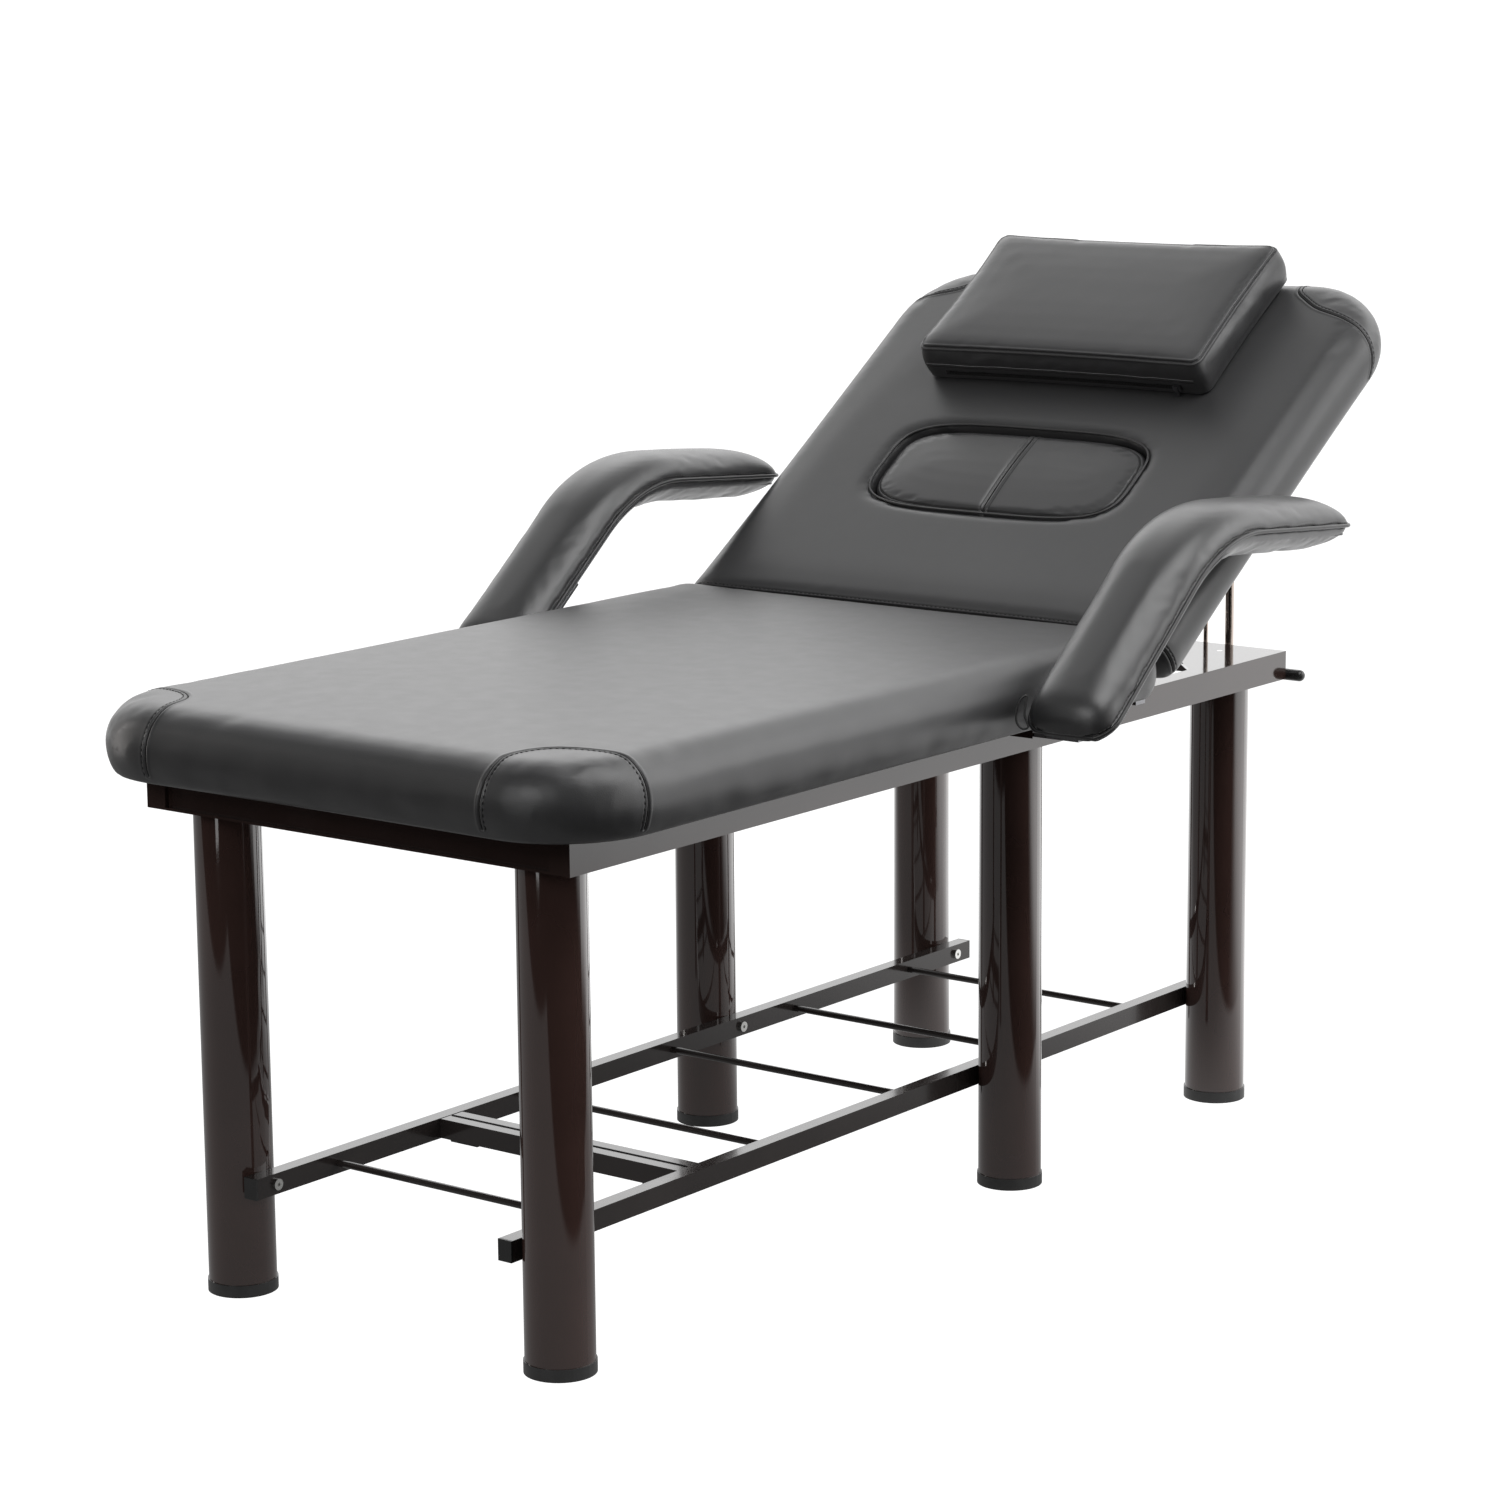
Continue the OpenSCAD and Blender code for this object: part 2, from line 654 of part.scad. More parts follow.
module hinge_arms() {
    x = rail_in - bracket_t - hinge_side_gap - hinge_arm_t / 2;
    low = back_board_low - arm_plate_t;
    reach = back_over_hinge + back_board_end_gap;
    on_back() color(steel_grey) for (side = [-1, 1]) {
        translate([side * x, 0, 0]) difference() {
            union() {
                pin_x(bracket_r, hinge_arm_t);
                along_x(hinge_arm_t) polygon([
                    [0, -bracket_r], [reach + hinge_arm_l, low - 2 * arm_plate_t],
                    [reach + hinge_arm_l, low],
                    [reach - 2 * arm_plate_t, low], [bracket_r / 2, bracket_r * sqrt(3) / 2]]);
            }
            pin_x(hinge_pin_r + run_gap, hinge_arm_t + 2 * cut);
        }
        translate([
            side * (x + hinge_arm_t / 2 - hinge_flange_w / 2),
            reach + hinge_arm_l / 2, low + arm_plate_t / 2])
            cube([hinge_flange_w, hinge_arm_l, arm_plate_t], center = true);
    }
}
arm_plate_t = 4;
hinge_arm_l = 110;
hinge_flange_w = 44;

module face_plug_base() {
    on_back() color(wood) translate([0, 0, back_low + sit_gap]) linear_extrude(plug_base_t)
        polygon(hole_outline(-plug_gap - sit_gap));
}

module face_plug_pad() {
    z0 = back_low + sit_gap + plug_base_t;
    z1 = back_top - plug_sunk;
    function plug_ring(grow, z) = lift(hole_outline(-plug_gap - grow), z);
    rings = [plug_ring(2 * sit_gap, z0), plug_ring(0, z0 + plug_round / 2),
        plug_ring(0, z1 - plug_round),
        for (a = [30, 60, 90]) plug_ring(plug_round * (1 - cos(a)), z1 - plug_round + plug_round * sin(a)),
        plug_ring(2.5 * plug_round, z1 + crown_h / 2), plug_ring(4 * plug_round, z1 + crown_h)];
    on_back() color(leather_black) skin(rings);
}

function pillow_outline(i, draw) = outline(pillow_w / 2 - i, pillow_y0 + i, pillow_y0 + pillow_len - i,
    pillow_r, pillow_r, draw, pillow_corner_n, pillow_side_n);

module pillow() {
    z1 = pillow_low + pillow_t;
    rings = concat(
        [for (p = side_profile(pillow_low, z1, pillow_edge, pillow_edge))
            lift(pillow_outline(p[0], side_draw), p[1])],
        [for (k = [1:crown_n]) lift(pillow_outline(pillow_edge + k * pillow_step, 0),
            z1 + pillow_crown * crown_shares[k])]);
    on_back() color(leather_black) skin(rings);
}
pillow_step = 26;
pillow_corner_n = 4;
pillow_side_n = 5;

// Near face of the pillow as seen in plan, drawn in between its corners
function near_face(t) = let (x0 = pillow_w / 2 - pillow_r) [
    -x0 + 2 * x0 * t, pillow_y0 + side_draw * 4 * t * (1 - t) + sit_gap];

module pillow_zipper() {
    steps = [for (k = [0:10]) zip_share + (1 - 2 * zip_share) * k / 10];
    on_back() color(plastic_black)
        translate([0, 0, pillow_low + zip_h_share * pillow_t - zip_w / 2])
            linear_extrude(zip_w) polygon(concat(
            [for (t = steps) near_face(t) - [0, zip_seat]],
            [for (k = [10:-1:0]) near_face(steps[k]) - [0, zip_seat + zip_t]]));
}
zip_share = zip_end_gap / pillow_w;
zip_seat = 2 * sit_gap;

module zip_pull() {
    x = pillow_w / 2 - pillow_r - zip_end_gap - slider_l / 2;
    y = pillow_y0 - zip_seat - zip_t - slider_t / 2;
    z = pillow_low + zip_h_share * pillow_t;
    on_back() color(steel_grey) translate([x, y, z]) {
        cube([slider_l, slider_t, slider_h], center = true);
        translate([0, -slider_t / 2 - tab_t / 2, -tab_l / 2 + slider_h / 2])
            cube([tab_w, tab_t, tab_l], center = true);
    }
}

// Side view of an armrest: a slope, a bend and a gently falling top, along the pad's lower face
arm_bend_end = arm_low_len + arm_arc_len;
function arm_dir(s) = s < arm_low_len ? arm_slope
    : s < arm_bend_end ? arm_slope - arm_turn * (s - arm_low_len) / arm_arc_len : -arm_droop;
function arm_bend_start() = [arm_y0, arm_z0] + arm_low_len * [cos(arm_slope), sin(arm_slope)];
function arm_bend_mid() = arm_bend_start() + arm_bend_r * [sin(arm_slope), -cos(arm_slope)];
function arm_point(s, n = 0) = let (a = arm_dir(s), up = [-sin(a), cos(a)])
    n * up + (s < arm_low_len ? [arm_y0, arm_z0] + s * [cos(a), sin(a)]
        : arm_bend_mid() + arm_bend_r * up
            + (s < arm_bend_end ? 0 : s - arm_bend_end) * [cos(arm_droop), -sin(arm_droop)]);
function round_off(s, r) = s >= r ? 0 : r - sqrt(max(0, r * r - (r - s) * (r - s)));
function arm_half(s) = arm_w / 2 - round_off(s, arm_front_r) - round_off(arm_len - s, arm_rear_r);
function swell(s, l) = s >= l ? 1 : sqrt(max(0, 1 - (1 - s / l) * (1 - s / l)));
function arm_rise(s) = arm_crown * max(end_share, swell(s, arm_front_r))
    * max(end_share, swell(arm_len - s, arm_rear_taper));
end_share = 0.16;
arm_low_n = 5;
arm_bend_n = 12;
arm_top_n = 4;
front_shares = [0, 0.05, 0.2, 0.45, 0.75];
rear_shares = [0.8, 0.55, 0.35, 0.2, 0.08, 0.02, 0];
arm_bend_steps = [for (k = [0:arm_bend_n]) arm_low_len + arm_arc_len * k / arm_bend_n];
arm_stations = concat([for (q = front_shares) q * arm_front_r],
    [for (k = [0:arm_low_n - 1]) arm_front_r + (arm_low_len - arm_front_r) * k / arm_low_n],
    arm_bend_steps,
    [for (k = [1:arm_top_n]) arm_bend_end + (arm_top_len - arm_rear_taper) * k / arm_top_n],
    [for (q = rear_shares) arm_len - q * arm_rear_taper]);

// One slice of a pad across the armrest: flat on its board and domed on the other side
function arm_slice(side, s, half, rise, base) = [
    for (k = [0:arm_side_n]) let (a = 180 * k / arm_side_n, c = cos(a), n = base + rise * sin(a),
            p = arm_point(s, n))
        [side * (arm_mid + half * sign(c) * pow(abs(c), 0.7)), p.x, p.y],
    for (t = [0.5, -0.5]) let (p = arm_point(s, base)) [side * (arm_mid - half * t), p.x, p.y]];

module arm_pad(side, stations, base, way) {
    slices = [for (s = stations) way > 0
        ? arm_slice(side, s, arm_half(s), arm_rise(s), base)
        : arm_slice(side, s, arm_half(s) - arm_board_inset / 2, -arm_under(s), base)];
    turned = [for (r = slices) [for (k = [len(r) - 1:-1:0]) r[k]]];
    bed() color(leather_black) skin(side * way > 0 ? turned : slices);
}
under_s0 = arm_low_len + 0.45 * arm_arc_len;
under_s1 = arm_len - arm_front_r / 4;
under_n = 12;
function arm_under(s) = arm_under_t * max(2 * end_share, swell(s - under_s0, arm_front_r))
    * max(2 * end_share, swell(under_s1 - s, arm_rear_taper));

module armrest_pad(side) { arm_pad(side, arm_stations, sit_gap, 1); }
module armrest_under_pad(side) {
    stations = [for (k = [0:under_n]) under_s0 + (under_s1 - under_s0) * k / under_n];
    arm_pad(side, stations, -arm_board_t - sit_gap, -1);
}

// What is cut off the two corners at one end of an armrest's board, from the end's middle
module arm_board_end(s, tilt, way, r) {
    half = arm_w / 2 - arm_board_inset + arm_corner_out;
    p = arm_point(s);
    corner = concat([for (a = [0:arm_corner_step:90]) r * [cos(a), sin(a)]],
        [[0, r + cut], [r + cut, r + cut], [r + cut, 0]]);
    translate([0, p.x, p.y]) rotate([tilt, 0, 0]) for (end = [-1, 1])
        translate([end * (half - r), way * (r - arm_corner_out), -arm_board_t - cut])
            linear_extrude(arm_board_t + 2 * cut) polygon([for (q = corner) [end * q.x, -way * q.y]]);
}
arm_corner_step = 15;
arm_corner_out = 0.5;

module armrest_board(side) {
    s0 = arm_board_inset;
    s1 = arm_len - arm_board_inset;
    steps = concat([s0], arm_bend_steps, [s1]);
    bed() color(wood) translate([side * arm_mid, 0, 0]) difference() {
        along_x(arm_w - 2 * arm_board_inset) polygon(concat([for (s = steps) arm_point(s)],
            [for (k = [len(steps) - 1:-1:0]) arm_point(steps[k], -arm_board_t)]));
        arm_board_end(s0, arm_slope, 1, arm_front_r - arm_board_inset);
        arm_board_end(s1, -arm_droop, -1, arm_rear_r - arm_board_inset);
    }
}

tongue_w = 36;
tongue_t = 5;
tongue_drop = 5.5;
tongue_z = frame_h - tongue_drop;
tongue_y = -110;
socket_l = 45;
socket_wall = 2;
upright_t = 5;
upright_inset = 28;
upright_x = arm_in + upright_inset;
foot_plate_l = 85;
foot_plate_w = 86;
foot_plate_t = 4;

module armrest_bracket(side) {
    low = arm_board_t + foot_plate_t / 2;
    function under_z(y) = arm_z0 + (y - arm_y0) * tan(arm_slope) - low / cos(arm_slope);
    y0 = tongue_y - tongue_w / 2;
    y1 = tongue_y + tongue_w / 2;
    z0 = tongue_z - tongue_t / 2;
    s = (tongue_y - arm_y0) / cos(arm_slope);
    mid = arm_point(s, -arm_board_t - foot_plate_t / 2);
    x0 = rail_out + upright_t;
    bed() color(steel_grey) {
        translate([side * (x0 + upright_x + upright_t) / 2, tongue_y, tongue_z])
            cube([upright_x + upright_t - x0, tongue_w, tongue_t], center = true);
        translate([side * (upright_x + upright_t / 2), 0, 0]) along_x(upright_t)
            polygon([[y0, z0], [y1, z0], [y1, under_z(y1)], [y0, under_z(y0)]]);
        translate([side * (arm_in + foot_plate_w / 2 + arm_board_inset), mid.x, mid.y])
            rotate([arm_slope, 0, 0]) cube([foot_plate_w, foot_plate_l, foot_plate_t], center = true);
    }
}

module armrest_sockets() {
    bed() color(steel_black) for (side = [-1, 1])
        translate([side * (rail_out + socket_l / 2), tongue_y, tongue_z]) box_tube([
            socket_l, tongue_w + 2 * socket_wall + 2 * run_gap, tongue_t + 2 * socket_wall + 2 * run_gap],
            0, socket_wall);
}

module stay_foot_bracket() {
    bed() color(steel_black) difference() {
        translate([stay_x, stay_pin_y, stay_pin_z]) difference() {
            union() {
                for (ear = [-1, 1]) translate([ear * stay_ear_x, 0, 0]) {
                    pin_x(stay_ear_r, stay_ear_t);
                    translate([0, -foot_bracket_l / 2, 0])
                        cube([stay_ear_t, foot_bracket_l, 2 * stay_ear_r], center = true);
                }
                translate([0, -foot_bracket_l + foot_bracket_web / 2, 0])
                    cube([2 * stay_ear_x, foot_bracket_web, 2 * stay_ear_r], center = true);
            }
            pin_x(stay_pin_d / 2 + run_gap, 4 * stay_ear_x);
        }
        translate([leg_x, head_y, 0]) cylinder(r = leg_r + run_gap, h = leg_top, $fn = round_n);
    }
}
stay_ear_x = stay_eye_w / 2 + stay_ear_gap + stay_ear_t / 2;
foot_bracket_l = stay_pin_y - head_y - leg_r / 2;
foot_bracket_web = foot_bracket_l - stay_tube_d / 2 - 3 * stay_ear_gap;

module stay_foot_pin() {
    bed() color(steel_bright) translate([stay_x, stay_pin_y, stay_pin_z]) {
        pin_x(stay_pin_d / 2, 2 * stay_ear_x + stay_ear_t + 2 * run_gap);
        for (end = [-1, 1])
            translate([end * (stay_ear_x + stay_ear_t / 2 + run_gap + stay_head_h / 2), 0, 0])
                pin_x(stay_pin_d * 0.8, stay_head_h);
    }
}
stay_head_h = 3;
stay_tube_wall = 1.5;
stay_lip = 8;

module stay_tube() {
    top = stay_tube_len;
    bed() color(steel_black) translate([stay_x, stay_pin_y, stay_pin_z]) difference() {
        union() {
            pin_x(stay_tube_d / 2, stay_eye_w);
            cylinder(d = stay_tube_d, h = top, $fn = round_n);
            translate([-guide_off / 2, 0, top - guide_eye_h / 2])
                cube([guide_off, guide_arm_h, guide_eye_h], center = true);
            translate([-guide_off, 0, top - guide_eye_h])
                cylinder(r = guide_rod_d / 2 + guide_eye_wall, h = guide_eye_h, $fn = round_n);
        }
        pin_x(stay_pin_d / 2 + run_gap, 4 * stay_ear_x);
        for (ear = [-1, 1]) translate([ear * (stay_eye_w / 2 + stay_tube_d / 2), 0, 0])
            cube([stay_tube_d, 2 * stay_tube_d, 2 * stay_ear_r + 2 * stay_ear_gap], center = true);
        translate([0, 0, stay_floor])
            cylinder(d = stay_tube_d - 2 * stay_tube_wall, h = top - stay_floor - stay_lip, $fn = round_n);
        translate([0, 0, stay_floor])
            cylinder(r = stay_rod_d / 2 + run_gap, h = top, $fn = round_n);
        translate([-guide_off, 0, top - guide_eye_h - cut])
            cylinder(r = guide_rod_d / 2 + 2 * run_gap, h = guide_eye_h + 2 * cut, $fn = round_n);
    }
}

module stay_rod() {
    bed() color(steel_bright) translate([stay_x, stay_pin_y, 0]) {
        translate([0, 0, stay_rod_low])
            cylinder(d = stay_rod_d, h = stay_top_z - stay_rod_low, $fn = round_n);
        translate([0, 0, stay_rod_low])
            cylinder(r = stay_tube_d / 2 - stay_tube_wall - run_gap, h = piston_h, $fn = round_n);
        translate([0, 0, stay_top_z]) pin_x(stay_eye_r, stay_eye_w);
    }
}

module stay_guide() {
    top = stay_top_z - bridge_drop;
    bed() color(steel_bright) translate([stay_x, stay_pin_y, 0]) difference() {
        union() {
            translate([-guide_off, 0, guide_low])
                cylinder(d = guide_rod_d, h = top - guide_low, $fn = round_n);
            translate([-guide_off / 2, 0, top - guide_bridge_h / 2])
                cube([guide_off, guide_rod_d, guide_bridge_h], center = true);
            translate([0, 0, top - guide_bridge_h])
                cylinder(r = stay_rod_d / 2 + guide_eye_wall, h = guide_bridge_h, $fn = round_n);
        }
        translate([0, 0, top - 2 * guide_bridge_h])
            cylinder(r = stay_rod_d / 2 + run_gap / 2, h = 3 * guide_bridge_h, $fn = round_n);
    }
}

module stay_top_bracket() {
    on_back() color(steel_grey) translate([stay_x, stay_top_a, stay_top_b]) {
        for (ear = [-1, 1]) translate([ear * stay_ear_x, 0, 0]) {
            pin_x(stay_ear_r, stay_ear_t);
            translate([0, 0, stay_drop / 2]) cube([stay_ear_t, 2 * stay_ear_r, stay_drop], center = true);
            translate([ear * (stay_ear_t + stay_head_h) / 2, 0, 0]) pin_x(stay_pin_d * 0.8, stay_head_h);
        }
        translate([0, 0, stay_drop - foot_plate_t / 2])
            cube([top_plate_w, top_plate_l, foot_plate_t], center = true);
    }
}
top_plate_w = 60;
top_plate_l = 70;

module lever_place() { bed() translate([lever_x, lever_y, lever_z]) children(); }

module lever_bar() {
    lever_place() color(steel_black) difference() {
        union() {
            pin_y(lever_eye_r, lever_eye_w);
            rotate([0, 90, 0]) cylinder(d = lever_core_d, h = lever_len - lever_d / 2, $fn = round_n);
        }
        pin_y(lever_pin_d / 2 + run_gap, 2 * lever_eye_w);
    }
}

module lever_grip() {
    lever_place() color(plastic_black) difference() {
        union() {
            translate([lever_len - grip_len, 0, 0]) rotate([0, 90, 0])
                cylinder(d = lever_d, h = grip_len - lever_d / 2, $fn = round_n);
            translate([lever_len - lever_d / 2, 0, 0]) sphere(d = lever_d, $fn = round_n);
        }
        translate([lever_len - grip_len - cut, 0, 0]) rotate([0, 90, 0])
            cylinder(r = lever_core_d / 2 + run_gap / 2, h = grip_len - lever_d / 2 + cut, $fn = round_n);
    }
}

module lever_lug() {
    bed() color(steel_black) translate([lever_x, frame_y1 + boss_t / 2, lever_z + boss_up]) difference() {
        pin_y(boss_r, boss_t);
        translate([0, 0, -boss_up]) pin_y(lever_pin_d / 2 + run_gap, 2 * boss_t);
    }
}
boss_up = 3;

module lever_pin() {
    length = lever_y + lever_eye_w / 2 + sit_gap - frame_y1;
    bed() color(steel_bright) translate([lever_x, frame_y1 + length / 2, lever_z]) {
        pin_y(lever_pin_d / 2, length);
        translate([0, (length + pin_head_t) / 2, 0]) pin_y(lever_pin_d * 0.8, pin_head_t);
    }
}

leg(-1, foot_y);  // leg_foot_left
leg(1, foot_y);  // leg_foot_right
leg(-1, 0);  // leg_middle_left
leg(1, 0);  // leg_middle_right
leg(-1, head_y);  // leg_head_left
leg(1, head_y);  // leg_head_right
foot_caps();
side_rail(-1);  // side_rail_left
side_rail(1);  // side_rail_right
foot_rail();
cross_rail(cross_y);  // middle_rail
cross_rail(frame_y1 - rail_w);  // head_rail
corner_plates();
middle_plates();
plate_screws();
shelf_rail(-1);  // shelf_rail_left
shelf_rail(1);  // shelf_rail_right
shelf_end_plugs();
shelf_rods();
shelf_crossbar();
shelf_spacers();
shelf_bolts();
shelf_nuts();
seat_board();
seat_cushion();
back_board();
back_cushion();
hinge_brackets();
hinge_pins();
hinge_arms();
face_plug_base();
face_plug_pad();
pillow();
pillow_zipper();
zip_pull();
armrest_pad(-1);  // armrest_pad_left
armrest_pad(1);  // armrest_pad_right
armrest_board(-1);  // armrest_board_left
armrest_board(1);  // armrest_board_right
armrest_under_pad(-1);  // armrest_under_pad_left
armrest_under_pad(1);  // armrest_under_pad_right
armrest_bracket(-1);  // armrest_bracket_left
armrest_bracket(1);  // armrest_bracket_right
armrest_sockets();
stay_foot_bracket();
stay_foot_pin();
stay_tube();
stay_rod();
stay_guide();
stay_top_bracket();
lever_bar();
lever_grip();
lever_lug();
lever_pin();
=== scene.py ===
"""Massage table: the looks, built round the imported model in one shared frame."""
import json
import math

import bmesh
import bpy
import numpy as np
from mathutils import Matrix, Vector, noise
from mathutils.bvhtree import BVHTree
from mathutils.kdtree import KDTree

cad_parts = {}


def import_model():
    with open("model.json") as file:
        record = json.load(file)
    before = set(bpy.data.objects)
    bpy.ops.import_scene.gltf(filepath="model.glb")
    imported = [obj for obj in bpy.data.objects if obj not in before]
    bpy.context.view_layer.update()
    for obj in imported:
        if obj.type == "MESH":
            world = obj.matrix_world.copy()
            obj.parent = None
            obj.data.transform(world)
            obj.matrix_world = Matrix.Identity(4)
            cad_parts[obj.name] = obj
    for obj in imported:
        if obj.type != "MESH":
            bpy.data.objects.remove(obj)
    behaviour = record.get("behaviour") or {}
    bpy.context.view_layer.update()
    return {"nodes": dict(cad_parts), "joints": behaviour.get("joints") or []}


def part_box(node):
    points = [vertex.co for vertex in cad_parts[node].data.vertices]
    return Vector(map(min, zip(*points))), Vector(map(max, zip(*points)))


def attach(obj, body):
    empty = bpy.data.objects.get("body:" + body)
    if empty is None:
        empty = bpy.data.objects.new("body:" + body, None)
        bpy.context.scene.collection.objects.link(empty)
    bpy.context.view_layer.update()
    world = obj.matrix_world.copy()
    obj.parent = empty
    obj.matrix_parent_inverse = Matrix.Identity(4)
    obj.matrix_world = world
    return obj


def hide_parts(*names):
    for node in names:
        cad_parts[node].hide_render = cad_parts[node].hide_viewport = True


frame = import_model()
NODES = frame["nodes"]
scene = bpy.context.scene

# Places. Lengths are in millimetres, and y counts from the middle pair of legs, as in the part.
_low, _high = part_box("leg_middle_right")
MID = (_low.y + _high.y) / 2 * 1000
HINGE = next(j for j in frame["joints"] if j["name"] == "back_recline")["pos_m"]
HINGE_Y, HINGE_Z = HINGE[1] * 1000 - MID, HINGE[2] * 1000
BACK = math.radians(34.3)
BACK_C, BACK_S = math.cos(BACK), math.sin(BACK)


def world(points):
    """Metres in the row frame from millimetres about the middle legs."""
    p = np.array(points, float).reshape(-1, 3)
    return (p + (0, MID, 0)) / 1000


def on_back(points):
    """Metres in the row frame from (x, along, out) millimetres in the back's own plane."""
    p = np.array(points, float).reshape(-1, 3)
    y = HINGE_Y + p[:, 1] * BACK_C - p[:, 2] * BACK_S
    z = HINGE_Z + p[:, 1] * BACK_S + p[:, 2] * BACK_C
    return world(np.stack([p[:, 0], y, z], 1))


def in_back(co):
    """Distances along the back and out of it, in millimetres, of points in metres."""
    y = co[:, 1] * 1000 - MID - HINGE_Y
    z = co[:, 2] * 1000 - HINGE_Z
    return y * BACK_C + z * BACK_S, z * BACK_C - y * BACK_S


# Camera, floor and light
CAM_FOCAL = 98.29
CAM_POS = (3147.5, -4273.0, 1575.3)
CAM_YAW, CAM_PITCH, CAM_ROLL = map(math.radians, (37.84, 10.96, -0.52))


def make_camera():
    data = bpy.data.cameras.new("camera")
    data.sensor_width = 36.0
    data.lens = CAM_FOCAL
    data.clip_end = 100
    cam = bpy.data.objects.new("camera", data)
    scene.collection.objects.link(cam)
    sy, cy = math.sin(CAM_YAW), math.cos(CAM_YAW)
    sp, cp = math.sin(CAM_PITCH), math.cos(CAM_PITCH)
    fwd = Vector((-sy * cp, cy * cp, -sp))
    right = Vector((cy, sy, 0))
    up = right.cross(fwd)
    cr, sr = math.cos(CAM_ROLL), math.sin(CAM_ROLL)
    right, up = right * cr + up * sr, up * cr - right * sr
    m = Matrix((right, up, -fwd)).transposed().to_4x4()
    m.translation = Vector(world([CAM_POS])[0])
    cam.matrix_world = m
    scene.camera = cam


def new_material(name):
    mat = bpy.data.materials.new(name)
    mat.use_nodes = True
    nt = mat.node_tree
    return mat, nt, nt.nodes["Principled BSDF"]


# Soft boxes, in metres and watts: name, place, aim, size, power, colour
WHITE, WARM = (1, 1, 1), (1.0, 0.96, 0.93)
SOFT_BOXES = (
    ("overhead", (-1.6, 0.6, 3.4), (0, 0, 0.7), (3.0, 3.0), 17, WHITE),
    ("right_back", (2.8, 2.2, 2.5), (0.3, 0.6, 0.9), (2.0, 2.0), 20, WHITE),
    ("right_top", (1.35, -0.1, 3.1), (0.5, 0, 0.8), (2.0, 1.6), 48, WHITE),
    ("tall_left", (-3.4, -1.6, 1.3), (0, 0, 0.5), (0.35, 2.6), 26, WARM),
    ("tall_right", (3.6, -0.4, 1.3), (0, 0, 0.5), (0.30, 2.6), 6, WARM),
    ("front", (0.2, -4.4, 2.9), (0, 0, 0.5), (2.2, 1.6), 45, WHITE),
    ("tall_front", (0.10, -3.2, 1.0), (0, 0, 0.6), (0.45, 2.0), 5, WHITE),
)
FLOOR_SIZE = 60
# Just over one, so that the backdrop comes out as pure white
BACKDROP = 1.15


def area_light(name, pos, aim, size, power, colour):
    data = bpy.data.lights.new(name, "AREA")
    data.shape = "RECTANGLE"
    data.size, data.size_y = size
    data.energy = power
    data.color = colour
    obj = bpy.data.objects.new(name, data)
    scene.collection.objects.link(obj)
    obj.location = pos
    obj.rotation_euler = (Vector(aim) - Vector(pos)).to_track_quat("-Z", "Y").to_euler()


def blend(nt, source, low, high, a, b):
    """Smooth change from one grey to another while source runs from a to b."""
    step = nt.nodes.new("ShaderNodeMapRange")
    step.interpolation_type = "SMOOTHSTEP"
    for key, value in (("From Min", a), ("From Max", b), ("To Min", low), ("To Max", high)):
        step.inputs[key].default_value = value
    nt.links.new(source, step.inputs["Value"])
    return step.outputs["Result"]


def combine(nt, how, first, second):
    """One number made from two, by the named operation."""
    node = nt.nodes.new("ShaderNodeMath")
    node.operation = how
    nt.links.new(first, node.inputs[0])
    nt.links.new(second, node.inputs[1])
    return node.outputs[0]


def white_for_camera(nt, kind, shader, target):
    """The camera sees plain white, while everything else sees the shader."""
    path = nt.nodes.new("ShaderNodeLightPath")
    white = nt.nodes.new(kind)
    white.inputs["Color"].default_value = (1, 1, 1, 1)
    white.inputs["Strength"].default_value = BACKDROP
    mix = nt.nodes.new("ShaderNodeMixShader")
    nt.links.new(path.outputs["Is Camera Ray"], mix.inputs[0])
    nt.links.new(shader, mix.inputs[1])
    nt.links.new(white.outputs[0], mix.inputs[2])
    nt.links.new(mix.outputs[0], target)


